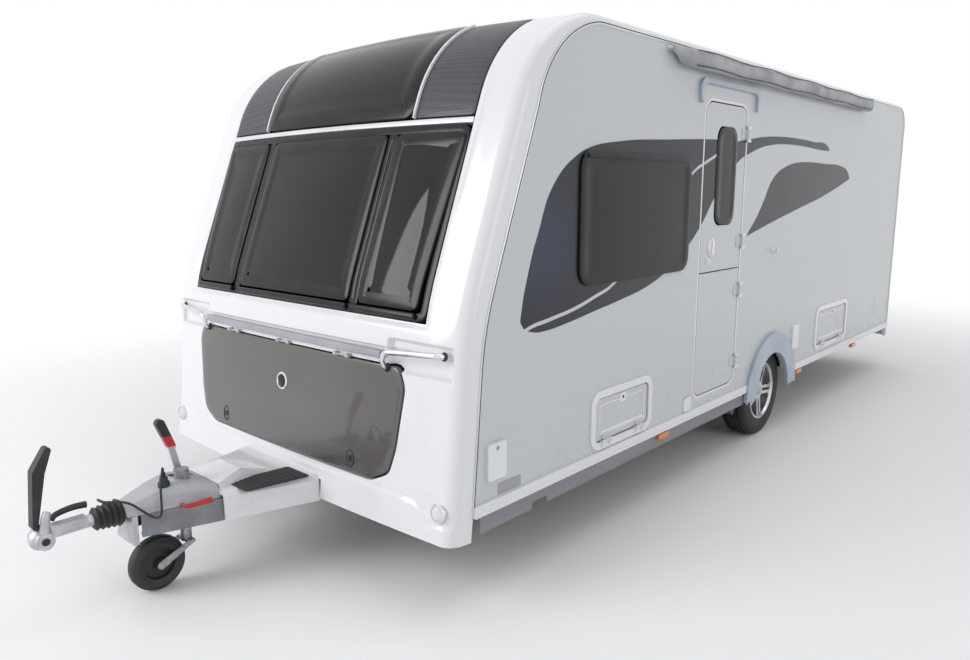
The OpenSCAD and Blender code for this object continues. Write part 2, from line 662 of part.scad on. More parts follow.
// Holes for a side lift jack's bracket in each rail
jack_hole_r = 6.5;
jack_hole_pitch = 90;
jack_hole_y = 3850;
module channel(w, h, t) difference() {
    square([w, h]);
    translate([t, t]) square([w, h - 2 * t]);
}
module chassis_rails() from_front() color(steel) both_sides() difference() {
    translate([rail_x, rail_y1, rail_z1 - rail_h]) rotate([90, 0, 0])
        linear_extrude(rail_y1 - rail_y0) mirror([1, 0]) channel(rail_w, rail_h, rail_t);
    for (d = [-0.5, 0.5]) rod([rail_x - rail_t - 5, jack_hole_y + d * jack_hole_pitch,
        rail_z1 - rail_h / 2], "x", jack_hole_r, 20);
}
arm_l = (rail_y0 - housing_y) / cos(arm_turn) - 2 * arm_w * tan(arm_turn) - 0.6;
module drawbar_arms() from_front() color([0.50, 0.52, 0.53]) both_sides()
    translate([arm_front_x, housing_y + arm_w * sin(arm_turn), arm_z]) rotate([0, 0, -arm_turn])
        rotate([-90, 0, 0]) mirror([0, 1, 0]) linear_extrude(arm_l)
            mirror([1, 0]) channel(arm_w, arm_h, rail_t);
// Cross members: [y, depth along y, height]
CROSS = [[rail_y0, 70, 100], [2350, 50, 90], [4300, 50, 90], [5200, 50, 90]];
module cross_members() from_front() color(steel) for (c = CROSS)
    box([-rail_x + rail_w + 1, c[0], rail_z1 - c[2]],
        [rail_x - rail_w - 1, c[0] + c[1], rail_z1]);
hub_x = half_w - wall_t - tyre_in - tyre_w;
axle_tube_y = axle_y - 170;
axle_tube_r = 38;
axle_tube_z = rail_z1 - rail_h - axle_tube_r - 6;
arm_in = rail_x + 110;
arm_t = 30;
arm_rise = atan((tyre_d / 2 - axle_tube_z) / (axle_y - axle_tube_y));
module axle() from_front() color(steel) union() {
    rod([-arm_in - arm_t + 6, axle_tube_y, axle_tube_z], "x", axle_tube_r, 2 * (arm_in + arm_t - 6));
    both_sides() {
        // Saddle that hangs the tube from the rail
        box([rail_x - rail_w + 4, axle_tube_y - 60, axle_tube_z],
            [rail_x - 4, axle_tube_y + 60, rail_z1 - rail_h]);
        // Trailing arm and stub
        translate([arm_in, axle_tube_y, axle_tube_z]) rotate([arm_rise, 0, 0])
            translate([0, 0, -30]) cube([arm_t, axle_y - axle_tube_y, 60]);
        rod([arm_in - 4, axle_y, tyre_d / 2], "x", 36, arm_t + 8);
        rod([arm_in, axle_y, tyre_d / 2], "x", stub_r, hub_x + 90 - arm_in);
    }
}

// ---------------------------------------------------------------------------
// Road wheels
tyre_r = tyre_d / 2;
rim_r = rim_d / 2;
module at_wheel(side) from_front() translate([side * (hub_x + tyre_w / 2), axle_y, tyre_r])
    rotate([0, side * 90, 0]) children();
module tyre_ring() rotate_extrude($fn = 96) polygon([
    [rim_r, -tyre_w / 2 + 16], [rim_r + 24, -tyre_w / 2], [tyre_r - 34, -tyre_w / 2 + 3],
    [tyre_r - 9, -tyre_w / 2 + 16], [tyre_r, -tyre_w / 2 + 34], [tyre_r, tyre_w / 2 - 34],
    [tyre_r - 9, tyre_w / 2 - 16], [tyre_r - 34, tyre_w / 2 - 3], [rim_r + 24, tyre_w / 2],
    [rim_r, tyre_w / 2 - 16]]);
hub_r = 62;
drum_r = 128;
face_z = tyre_w / 2 - 34;
spoke_z = face_z - 20;
module rim() difference() {
    union() {
        // Barrel, then five pairs of spokes, hub and brake drum
        rotate_extrude($fn = 96) polygon([
            [rim_r, -tyre_w / 2 + 16], [rim_r, tyre_w / 2 - 16], [rim_r + 8, tyre_w / 2 - 6],
            [rim_r - 4, tyre_w / 2 - 6], [rim_r - 12, tyre_w / 2 - 20],
            [rim_r - 12, -tyre_w / 2 + 16]]);
        for (k = [0 : 4], side = [-1, 1]) rotate([0, 0, k * 72 + 11])
            translate([20, side * 20 - 11, spoke_z]) cube([rim_r - 29, 22, 22]);
        rotate_extrude() polygon([
            [0, -tyre_w / 2 - 16], [drum_r - 10, -tyre_w / 2 - 16],
            [drum_r - 10, -tyre_w / 2 - 26], [drum_r, -tyre_w / 2 - 26],
            [drum_r, -tyre_w / 2 + 34], [44, -tyre_w / 2 + 34], [44, spoke_z - 9],
            [hub_r, spoke_z - 9], [hub_r, spoke_z + 26], [0, spoke_z + 26]]);
    }
    translate([0, 0, -tyre_w]) cylinder(r = stub_r + run, h = tyre_w + face_z - 8);
}
module tyre_near() color([0.08, 0.08, 0.08]) at_wheel(1) tyre_ring();
module tyre_off() color([0.08, 0.08, 0.08]) at_wheel(-1) tyre_ring();
module rim_near() color("silver") at_wheel(1) rim();
module rim_off() color("silver") at_wheel(-1) rim();
module motor_movers() from_front() color([0.3, 0.3, 0.31]) both_sides() {
    y = axle_y - tyre_r - 80;
    rod([hub_x - 30, y, 250], "x", 28, tyre_w - 10);
    rod([rail_x - rail_w, y - 6, 262], "x", 46, hub_x - 30 - rail_x + rail_w);
    box([rail_x - rail_w, y - 40, 250], [rail_x - 4, y + 30, rail_z1 - rail_h]);
}

// ---------------------------------------------------------------------------
// Drawbar and coupling
// Sections of the nose cover: [y, half width, height of its top]
COVER = [[-nose_y, 70, 424], [-nose_y + 130, 96, 462], [-jockey_y - 40, 124, 474], [-440.5, 160, 446]];
cover_t = 6;
cover_foot_z = arm_z + arm_h + 1;
// A shell over round-topped sections, taken in by t all round
module cover_hull(rows, foot, t) hull() for (c = rows) along(c[0], c[0] + 0.1)
    polygon([[-c[1] + t, foot - 10 * t], [c[1] - t, foot - 10 * t], [c[1] - 4 - t, c[2] - 24 - t],
        [c[1] - 26, c[2] - t], [-c[1] + 26, c[2] - t], [-c[1] + 4 + t, c[2] - 24 - t]]);
module nose_cover() from_front() color([0.78, 0.79, 0.80]) difference() {
    cover_hull(COVER, cover_foot_z, 0);
    translate([0, cover_t, 0]) cover_hull(COVER, cover_foot_z, cover_t);
    rod([0, -jockey_y, 300], "z", leg_r + tube_t + 5, 300);
    box([lever_x - 20, -jockey_y - 40, 300], [lever_x + 20, -jockey_y + 75, 600]);
    rod([0, -nose_y - 10, ball_z + 12], "y", shank_r + 3, 30);
    rod(plug_at + [0, 0, -100], "z", plug_r + 0.3, 160);
}
// Sections of the step cover: [y, half width, height of its top]
step_y1 = -crown - 0.3;
step_y0 = -440;
STEP = [[step_y0, arm_face(step_y0) + 18, 424], [step_y1 - 0.1, arm_face(step_y1) + 20, 416]];
HUMP = [[-433, 158, 444], [-300, 118, 468], [-150, 96, 418]];
module step_cover() from_front() color(white) difference() {
    union() {
        cover_hull(STEP, arm_z + 6, 0);
        cover_hull(HUMP, 404, 0);
    }
    box([-arm_face(step_y0) - 8, step_y0 - 60, 0],
        [arm_face(step_y0) + 8, step_y0 + 10, arm_z + arm_h + 12]);
    cover_hull([for (c = STEP) [c[0] + (c[0] > -200 ? 1 : -1), c[1], c[2]]], arm_z + 6, cover_t);
    translate([0, 0, -cover_t]) cover_hull(HUMP, 404, cover_t);
}
shank_r = 25;
module coupling_head() from_front() color([0.75, 0.76, 0.77]) difference() {
    union() {
        // Head over the ball, with its friction pad housings each side
        translate([0, -ball_y, ball_z]) sphere(r = head_l);
        rod([-52, -ball_y, ball_z], "x", 34, 104);
        // Drawbar tube back to the housing
        rod([0, -ball_y, ball_z + 12], "y", shank_r, ball_y - nose_y + 40);
        box([-26, -ball_y + 30, ball_z + 10], [26, -ball_y + 165, ball_z + 40]);
        // Front housing that carries the tube and joins the arms
        box([-arm_front_x, housing_y - 24, arm_z - 26], [arm_front_x, housing_y, arm_z + arm_h]);
    }
    translate([0, -ball_y, ball_z]) sphere(r = 25);
    rod([0, -ball_y, ball_z - 80], "z", 25, 80);
}
module stabiliser_handle() from_front() color([0.07, 0.07, 0.08]) {
    // Upright handle that presses the friction pads on the ball
    hull() {
        rod([-24, -ball_y - 22, ball_z + 46.5 + 10], "x", 10, 48);
        rod([-24, -ball_y + 8, ball_z + 265], "x", 22, 48);
    }
    hull() {
        rod([-24, -ball_y + 8, ball_z + 265], "x", 22, 48);
        rod([-20, -ball_y + 48, ball_z + 345], "x", 13, 40);
    }
    rod([-12, -ball_y - 10, ball_z + 54.5], "x", 9, 24);
}
bellows_l = 112;
module bellows() from_front() color([0.07, 0.07, 0.07])
    translate([0, -nose_y - bellows_l - 0.3, ball_z + 12]) rotate([-90, 0, 0]) rotate_extrude()
        polygon(concat([[shank_r + 0.3, 0]],
            [for (i = [0 : 4]) each [[38 + i * 2.5, i * 22 + 2], [48 + i * 2.5, i * 22 + 11]]],
            [[50, bellows_l], [shank_r + 0.3, bellows_l]]));
lever_x = -48;
clamp_z = arm_z + 34;
module handbrake_lever() from_front() color([0.7, 0.7, 0.72]) {
    // Upright lever on the clamp, then its grip
    hull() {
        rod([lever_x - 6, -jockey_y + 34, clamp_z + 56.3], "x", 16, 12);
        rod([lever_x - 6, -546, 606], "x", 13, 12);
    }
    hull() {
        rod([lever_x - 15, -546, 606], "x", 17, 30);
        rod([lever_x - 15, -588, 716], "x", 19, 30);
    }
}
tube_t = 4;
clamp_half = arm_face(-jockey_y - 26) - rail_t / cos(arm_turn) - 0.3;
module jockey_tube() from_front() color("silver") {
    difference() {
        union() {
            rod([0, -jockey_y, arm_z - 20], "z", leg_r + tube_t + 4, 508 - arm_z + 20);
            // Clamp casting between the arms
            box([-clamp_half, -jockey_y - 26, clamp_z], [clamp_half, -jockey_y + 60, clamp_z + 40]);
        }
        rod([0, -jockey_y, 200], "z", leg_r + run, 290);
    }
}
crown_z = 178;
module jockey_leg() from_front() color("silver") {
    difference() {
        rod([0, -jockey_y, crown_z + 24], "z", leg_r, 262);
        rod([0, -jockey_y, crown_z + 36], "z", leg_r - tube_t, 260);
    }
    rod([0, -jockey_y, crown_z - 4], "z", 10, 30);
}
fork_x = jockey_w / 2 + 6;
module jockey_fork() from_front() color("silver") difference() {
    union() {
        // Crown below the leg, then an arm down each side of the wheel
        rod([0, -jockey_y, crown_z], "z", leg_r, 23);
        box([-fork_x - 5, -jockey_y - 18, crown_z], [fork_x + 5, -jockey_y + 18, crown_z + 10]);
        for (side = [-1, 1]) hull() {
            translate([side * (fork_x + 2.5) - 2.5, -jockey_y - 18, crown_z]) cube([5, 36, 10]);
            translate([side * (fork_x + 2.5) - 2.5, -jockey_y - jockey_trail, jockey_r])
                rotate([0, 90, 0]) cylinder(r = 18, h = 5);
        }
        rod([-fork_x - 5, -jockey_y - jockey_trail, jockey_r], "x", 8, 2 * fork_x + 10);
    }
    rod([0, -jockey_y, crown_z - 40], "z", 10 + run, 80);
}
module jockey_wheel() from_front() color([0.1, 0.1, 0.1])
    translate([0, -jockey_y - jockey_trail, jockey_r]) rotate([0, 90, 0])
        rotate_extrude($fn = 72) polygon([
            [8 + run, -jockey_w / 2], [22, -jockey_w / 2], [24, -14], [64, -14],
            [68, -jockey_w / 2 + 8], [jockey_r - 26, -jockey_w / 2], [jockey_r - 5, -jockey_w / 2 + 14],
            [jockey_r, -14], [jockey_r, 14], [jockey_r - 5, jockey_w / 2 - 14],
            [jockey_r - 26, jockey_w / 2], [68, jockey_w / 2 - 8], [64, 14], [24, 14],
            [22, jockey_w / 2], [8 + run, jockey_w / 2]]);

// ---------------------------------------------------------------------------
// Corner steadies: [side, direction that the leg points, pivot y]
steady_rear_y = body_l - steady_rear_in;
steady_z = 374;
STEADIES = [
    [1, -1, steady_front_y], [-1, -1, steady_front_y],
    [1, 1, steady_rear_y], [-1, 1, steady_rear_y]
];
steady_pin_r = 8;
steady_w = 50;
module steadies_fixed() from_front() color(steel) for (s = STEADIES)
    translate([s[0] * steady_x, s[2], 0]) {
        for (side = [-1, 1]) box([side * (steady_w / 2 + 4) - 2, -34, steady_z - 20],
            [side * (steady_w / 2 + 4) + 2, 34, rail_z1]);
        box([-steady_w / 2 - 6, -34, rail_z1 - 5], [steady_w / 2 + 6, 34, rail_z1]);
        rod([-steady_w / 2 - 6, 0, steady_z], "x", steady_pin_r, steady_w + 12);
    }
module steady(s) from_front() color("silver") translate([s[0] * steady_x, s[2], steady_z])
    difference() {
        union() {
            rod([-steady_w / 2, 0, 0], "x", 17, steady_w);
            box([-steady_w / 2, min(0, s[1] * steady_l), -14], [steady_w / 2, max(0, s[1] * steady_l), 14]);
            box([-42, s[1] * steady_l - 34, -22], [42, s[1] * steady_l + 34, -14]);
        }
        rod([-steady_w, 0, 0], "x", steady_pin_r + run, 2 * steady_w);
    }
module steady_front_near() steady(STEADIES[0]);
module steady_front_off() steady(STEADIES[1]);
module steady_rear_near() steady(STEADIES[2]);
module steady_rear_off() steady(STEADIES[3]);

// ---------------------------------------------------------------------------
// Inside, seen through the windows
ply = 15;
seat_y0 = locker_l + 12;
seat_l = 1330;
seat_h = 400;
seat_w = 620;
// An open-backed cupboard of board, from its lower front corner
module cupboard(lo, hi, open_x) difference() {
    box(lo, hi);
    box(lo + [open_x > 0 ? ply : -1, ply, ply], hi - [open_x > 0 ? -1 : ply, ply, ply]);
}
module furniture() from_front() color([0.62, 0.50, 0.38]) {
    // Seat bases, near and off side, open towards the walls
    cupboard([inner_w - seat_w, seat_y0, floor_z], [inner_w, seat_y0 + seat_l, floor_z + seat_h], 1);
    cupboard([-inner_w, seat_y0, floor_z], [-inner_w + seat_w, seat_y0 + seat_l, floor_z + seat_h], -1);
    // Kitchen on the off side
    cupboard([-inner_w, 2150, floor_z], [-inner_w + 560, 2150 + 640, floor_z + 900], -1);
    // Rear bed base
    cupboard([inner_w - 1250, 3880, floor_z], [inner_w, body_l - 120, floor_z + 420], 1);
    // Wardrobe ahead of the bed
    box([inner_w - 800, 3840, floor_z], [inner_w, 3855, 2300]);
    // Roof lockers over the seats
    cupboard([inner_w - 320, 980, 1960], [inner_w, 1900, 2260], 1);
    cupboard([-inner_w, 980, 1960], [-inner_w + 320, 2790, 2260], -1);
}
module seat_cushions() from_front() color([0.45, 0.38, 0.33]) {
    for (side = [-1, 1]) {
        box([side > 0 ? inner_w - seat_w : -inner_w + 130, seat_y0 + 10, floor_z + seat_h + 0.3],
            [side > 0 ? inner_w - 130 : -inner_w + seat_w, seat_y0 + seat_l - 10, floor_z + seat_h + 130]);
        box([side > 0 ? inner_w - 125 : -inner_w + 5, seat_y0 + 10, floor_z + seat_h + 0.3],
            [side > 0 ? inner_w - 5 : -inner_w + 125, seat_y0 + seat_l - 10, floor_z + seat_h + 420]);
    }
    box([inner_w - 1240, 3900, floor_z + 420.3], [inner_w - 10, body_l - 140, floor_z + 560]);
}

// ---------------------------------------------------------------------------
// Roof and rear fittings
module rooflights() from_front() color([0.85, 0.86, 0.87]) for (c = ROOFLIGHTS) {
    translate([c[0], c[1], roof_z]) difference() {
        union() {
            translate([-c[2] / 2 + 0.3, -c[2] / 2 + 0.3, -20]) cube([c[2] - 0.6, c[2] - 0.6, 60]);
            translate([-c[2] / 2 - 30, -c[2] / 2 - 30, crown + 1]) cube([c[2] + 60, c[2] + 60, rooflight_h - crown]);
        }
        translate([-c[2] / 2 + 20, -c[2] / 2 + 20, -30]) cube([c[2] - 40, c[2] - 40, rooflight_h + 10]);
    }
}
lamp_z = 520;
lamp_h = 150;
function rear_s(z) = s_end - (z - foot_z) / cos(180 - rear_lean);
module rear_lamps() from_front() color([0.6, 0.05, 0.05]) both_sides()
    slab(rear_s(lamp_z + lamp_h), rear_s(lamp_z), half_w - 470, half_w - 110,
        half_w - 470, half_w - 110, -rear_lamp_t, -0.3, 2, 4);
module drip_rail() from_front() color([0.80, 0.83, 0.86]) across(half_w, half_w + 20) difference() {
    translate([1900, 2156]) rounded(770, 140, 60);
    translate([1930, 2100]) rounded(710, 170, 40);
}
bag_y0 = 1540;
bag_l = 3270;
bag_z = 2372;
module awning_bag() from_front() color([0.62, 0.63, 0.64])
    translate([half_w + 44.3, bag_y0, bag_z]) rotate([-90, 0, 0]) linear_extrude(bag_l)
        hull() {
            translate([0, -8]) circle(36);
            translate([-6, 22]) circle(38);
        }

// ---------------------------------------------------------------------------
// The lead from the drawbar to the towing car, with its plug parked on the cover
lead_r = 5;
LEAD = [
    [-83, -770, 398], [-94, -775, 398], [-102, -794, 402], [-94, -824, 416], [-76, -849, 436],
    [-48, -866, 455], [-14, -873, 464], [20, -866, 464], [44, -842, 462], [60, -814, 459],
    [80, -786, 446], [100, -758, 418], [120, -728, 388], [131, -706, 376], [134, -692, 384],
    [128, -684, 410], [116, -678, 450], [102, -670, 490], [88, -658, 524], [72, -646, 545],
    [56, -636, 552], [44, -630, 544], [40, -628, 532]
];
// A smooth point between four, by the usual cubic rule.
function smooth(a, b, c, d, t) = 0.5 * ((2 * b) + (c - a) * t
    + (2 * a - 5 * b + 4 * c - d) * t * t + (3 * b - a - 3 * c + d) * t * t * t);
function route(p, n) = [for (i = [0 : len(p) - 2], k = [0 : n - 1])
    smooth(p[max(i - 1, 0)], p[i], p[i + 1], p[min(i + 2, len(p) - 1)], k / n), p[len(p) - 1]];
function unit(v) = v / norm(v);
module tube(points, r, sides = 8) {
    n = len(points);
    rings([for (i = [0 : n - 1]) let(
        t = unit(points[min(i + 1, n - 1)] - points[max(i - 1, 0)]),
        u = unit(cross(t, [0.31, 0.17, 0.94])), v = cross(t, u))
        each [for (k = [0 : sides - 1]) let(a = -360 * k / sides)
            points[i] + r * (cos(a) * u + sin(a) * v)]], sides);
}
module lead() from_front() color([0.05, 0.05, 0.05]) tube(route(LEAD, 3), lead_r);
// The plug stands in a holder on the cover
plug_at = [40, -628, 470];
plug_r = 24;
module plug() from_front() color([0.06, 0.06, 0.06]) {
    rod(plug_at + [0, 0, -36], "z", plug_r, 52);
    rod(plug_at + [0, 0, 10], "z", 17, 30);
    rod(plug_at + [0, 0, 30], "z", 10, 30);
}

front_panel();
roof();
rear_panel();
side_wall_near();
side_wall_off();
floor();
front_window_frame();
front_windows();
door_window();
brow_panels();
skylight();
side_windows();
window_frames();
rear_window();
door_frame();
door_upper();
door_lower();
locker_door();
locker_box();
front_bar();
service_door();
rear_hatch();
hatch_frames();
side_flaps();
side_rails();
side_skirts();
arch_trims();
wheel_boxes();
chassis_rails();
drawbar_arms();
cross_members();
axle();
tyre_near();
rim_near();
tyre_off();
rim_off();
motor_movers();
nose_cover();
step_cover();
coupling_head();
stabiliser_handle();
bellows();
handbrake_lever();
jockey_tube();
jockey_leg();
jockey_fork();
jockey_wheel();
steadies_fixed();
steady_front_near();
steady_front_off();
steady_rear_near();
steady_rear_off();
furniture();
seat_cushions();
rooflights();
rear_lamps();
drip_rail();
awning_bag();
lead();
plug();
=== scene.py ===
import json
import math

import bmesh
import bpy
from mathutils import Matrix, Vector, geometry, noise


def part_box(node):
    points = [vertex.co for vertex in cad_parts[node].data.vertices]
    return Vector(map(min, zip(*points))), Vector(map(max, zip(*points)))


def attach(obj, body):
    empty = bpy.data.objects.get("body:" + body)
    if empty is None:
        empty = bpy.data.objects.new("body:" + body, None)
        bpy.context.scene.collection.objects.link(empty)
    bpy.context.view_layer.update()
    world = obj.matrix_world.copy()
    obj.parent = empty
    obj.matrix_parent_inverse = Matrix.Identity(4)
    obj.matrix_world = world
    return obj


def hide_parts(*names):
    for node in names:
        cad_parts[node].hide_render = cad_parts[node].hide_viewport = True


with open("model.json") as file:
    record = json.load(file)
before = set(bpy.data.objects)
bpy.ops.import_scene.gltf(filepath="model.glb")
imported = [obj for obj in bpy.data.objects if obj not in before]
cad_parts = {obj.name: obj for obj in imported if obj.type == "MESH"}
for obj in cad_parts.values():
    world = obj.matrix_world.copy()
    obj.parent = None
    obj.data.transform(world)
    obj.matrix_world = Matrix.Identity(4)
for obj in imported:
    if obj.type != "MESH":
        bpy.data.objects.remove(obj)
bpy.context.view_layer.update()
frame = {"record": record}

# --- The view -------------------------------------------------------------------------
# The trailer is seen from its near front corner, a little above the level of the
# door handle, with a moderate wide lens.
EYE = Vector((3.1047, -4.4794, 1.7002))
TURN, TILT, ROLL = math.radians(42.057), math.radians(-10.393), math.radians(-0.139)
ahead = Vector((-math.sin(TURN) * math.cos(TILT), math.cos(TURN) * math.cos(TILT), math.sin(TILT)))
right = Vector((math.cos(TURN), math.sin(TURN), 0))
eye_axes = Matrix((right, right.cross(ahead), -ahead)).transposed().to_4x4()
eye = bpy.data.objects.new("eye", bpy.data.cameras.new("eye"))
eye.data.sensor_width, eye.data.lens = 36, 28.103
eye.matrix_world = Matrix.Translation(EYE) @ eye_axes @ Matrix.Rotation(ROLL, 4, "Z")
bpy.context.scene.collection.objects.link(eye)
bpy.context.scene.camera = eye

# --- The lead to the towing car -------------------------------------------------------
# A black rubber lead, 10 mm thick. It leaves the side of the nose cover, passes over
# the bellows and hangs down the near side, then ends in the plug parked on the cover.
MM = 0.001
HITCH_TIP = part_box("coupling_head")[0].y
FOOT_Y = HITCH_TIP + 1.146


def behind_foot(y):
    """The row frame's y of a point that lies y metres behind the body's front foot."""
    return FOOT_Y + y


LEAD_KNOTS = [
    (-83, -770, 398), (-94, -775, 398), (-102, -794, 402), (-94, -824, 416),
    (-76, -849, 436), (-48, -866, 455), (-14, -873, 464), (20, -866, 464), (44, -842, 462),
    (60, -814, 459), (80, -786, 446), (100, -758, 418), (120, -728, 388), (131, -706, 376),
    (134, -692, 384), (128, -684, 410), (116, -678, 450), (102, -670, 490), (88, -658, 524),
    (72, -646, 545), (56, -636, 552), (44, -630, 544), (40, -628, 532)]
LEAD_THICK = 0.010


def smooth_route(knots, steps):
    """Points along the usual smooth cubic through the knots."""
    out, last = [], len(knots) - 1
    for i in range(last):
        a, b, c, d = (Vector(knots[j]) for j in (max(i - 1, 0), i, i + 1, min(i + 2, last)))
        for k in range(steps):
            t = k / steps
            out.append(0.5 * (2 * b + (c - a) * t + (2 * a - 5 * b + 4 * c - d) * t * t
                              + (3 * b - a - 3 * c + d) * t ** 3))
    return out + [Vector(knots[-1])]


lead_line = [Vector((p.x * MM, behind_foot(p.y * MM), p.z * MM)) for p in smooth_route(LEAD_KNOTS, 3)]
lead_curve = bpy.data.curves.new("drawbar_lead", "CURVE")
lead_curve.dimensions, lead_curve.bevel_depth, lead_curve.bevel_resolution = "3D", LEAD_THICK / 2, 4
lead_curve.use_fill_caps = True
lead_spline = lead_curve.splines.new("POLY")
lead_spline.points.add(len(lead_line) - 1)
for knot, p in zip(lead_spline.points, lead_line):
    knot.co = (*p, 1)
lead = bpy.data.objects.new("drawbar_lead", lead_curve)
bpy.context.scene.collection.objects.link(lead)


def socket_of(sockets, key):
    """A node's socket by its identifier, its name or its number."""
    if isinstance(key, int):
        return sockets[key]
    return next(s for s in sockets if s.identifier == key or (s.name == key and s.enabled))


class Value:
    """Something that varies over a surface. Arithmetic on it adds Math nodes."""

    def __init__(self, tree, socket):
        self.tree, self.socket = tree, socket

    def math(self, operation, *terms, clamp=False):
        node = self.tree.nodes.new("ShaderNodeMath")
        node.operation, node.use_clamp = operation, clamp
        for slot, term in zip(node.inputs, terms):
            if isinstance(term, Value):
                self.tree.links.new(term.socket, slot)
            else:
                slot.default_value = term
        return Value(self.tree, node.outputs[0])

    def __add__(self, other):
        return self.math("ADD", self, other)

    def __sub__(self, other):
        return self.math("SUBTRACT", self, other)

    def __rsub__(self, other):
        return self.math("SUBTRACT", other, self)

    def __mul__(self, other):
        return self.math("MULTIPLY", self, other)

    def __truediv__(self, other):
        return self.math("DIVIDE", self, other)

    def __gt__(self, other):
        return self.math("GREATER_THAN", self, other)

    def __lt__(self, other):
        return self.math("LESS_THAN", self, other)

    def __abs__(self):
        return self.math("ABSOLUTE", self)

    __radd__, __rmul__ = __add__, __mul__

    def ease(self, low, high):
        """0 at low, 1 at high, smooth between them."""
        node = self.tree.nodes.new("ShaderNodeMapRange")
        node.interpolation_type = "SMOOTHSTEP"
        self.tree.links.new(self.socket, node.inputs["Value"])
        node.inputs["From Min"].default_value = low
        node.inputs["From Max"].default_value = high
        return Value(self.tree, node.outputs["Result"])


class Finish:
    """One material, with a node for each thing that varies over the surface."""

    def __init__(self, name):
        self.material = bpy.data.materials.new(name)
        self.material.use_nodes = True
        self.tree = self.material.node_tree
        self.surface = self.tree.nodes["Principled BSDF"]
        self.place = self.add("ShaderNodeTexCoord", {}, {}, "Object")

    def add(self, kind, settings, sockets, output=0):
        """Any node: its type, its settings, then the values or links of its sockets."""
        node = self.tree.nodes.new(kind)
        for key, setting in settings.items():
            if key == "stops":
                ramp = node.color_ramp
                for i, (at, colour) in enumerate(setting):
                    stop = ramp.elements[i] if i < 2 else ramp.elements.new(at)
                    stop.position, stop.color = at, (*colour, 1)
            elif key == "curve":
                line = node.mapping.curves[0]
                for i, at in enumerate(setting):
                    if i < 2:
                        line.points[i].location = at
                    else:
                        line.points.new(*at)
                node.mapping.update()
            else:
                setattr(node, key, setting)
        for key, item in sockets.items():
            slot = socket_of(node.inputs, key)
            if isinstance(item, Value):
                self.tree.links.new(item.socket, slot)
            else:
                slot.default_value = (*item, 1) if slot.type == "RGBA" and len(item) == 3 else item
        return Value(self.tree, socket_of(node.outputs, output))

    def stretched(self, scale):
        return self.add("ShaderNodeVectorMath", {"operation": "MULTIPLY"}, {0: self.place, 1: scale})

    def noise(self, scale, detail=3.0, roughness=0.5, stretch=None):
        where = self.stretched(stretch) if stretch else self.place
        return self.add("ShaderNodeTexNoise", {}, {"Vector": where, "Scale": scale, "Detail": detail,
                                                   "Roughness": roughness}, 0)

    def axis(self, name):
        if not hasattr(self, "axes"):
            self.axes = self.add("ShaderNodeSeparateXYZ", {}, {0: self.place}).socket.node
        return Value(self.tree, self.axes.outputs[name])

    def blend(self, share, low, high):
        return self.add("ShaderNodeMix", {"data_type": "RGBA"},
                        {"Factor_Float": share, "A_Color": low, "B_Color": high}, "Result_Color")

    def relief(self, height, depth, strength=1.0):
        return self.add("ShaderNodeBump", {}, {"Height": height, "Distance": depth, "Strength": strength})

    def shade(self, **sockets):
        """Sets the surface: Base_Color=..., Roughness=..., a link or a constant each."""
        for key, item in sockets.items():
            slot = socket_of(self.surface.inputs, key.replace("_", " "))
            if isinstance(item, Value):
                self.tree.links.new(item.socket, slot)
            else:
                slot.default_value = (*item, 1) if slot.type == "RGBA" else item
        return self


# Rubber: nearly black, with a dull bloom in patches and a fine grain.
black_rubber = Finish("black_rubber")
bloom = black_rubber.noise(18, 4)
black_rubber.shade(
    Base_Color=black_rubber.blend(bloom, (0.010, 0.010, 0.011), (0.032, 0.032, 0.034)),
    Roughness=bloom * 0.3 + 0.42, Normal=black_rubber.relief(black_rubber.noise(900, 2), 0.0002, 0.5))
lead_curve.materials.append(black_rubber.material)
SLOT_OF = {part["node"]: part["material_slot"] for part in frame["record"]["subparts"]}


def coat(node, finish):
    """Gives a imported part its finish."""
    mesh = bpy.data.objects[node].data
    mesh.materials.clear()
    mesh.materials.append(finish.material)


def dress(**finishes):
    """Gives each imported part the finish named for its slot."""
    for node, slot in SLOT_OF.items():
        if slot in finishes:
            coat(node, finishes[slot])


dress(black_rubber=black_rubber)

# --- The white mouldings of the front, roof and rear ------------------------------------
# Glass-fibre mouldings in one section over the roof, glossy white, laid up in moulds and
# bonded to the side walls, on which each has a flat return.
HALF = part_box("side_wall_near")[1].x
WALL = 0.030
CROWN = 0.036
FOOT_Z, ROOF_Z, KNEE_Z = 0.305, 2.460, 1.187
KNEE_R, BROW_R, REAR_R = 1.400, 0.580, 0.230
FOOT_LEAN, SCREEN_LEAN, REAR_LEAN = math.radians(5.2), math.radians(20.7), math.radians(179.3)
LEVEL = math.pi / 2
BODY_L = 6.100
SCREEN_HALF, SCREEN_S0, SCREEN_S1, BROW_S0, BROW_S1 = 0.930, 0.872, 1.722, 1.752, 2.350


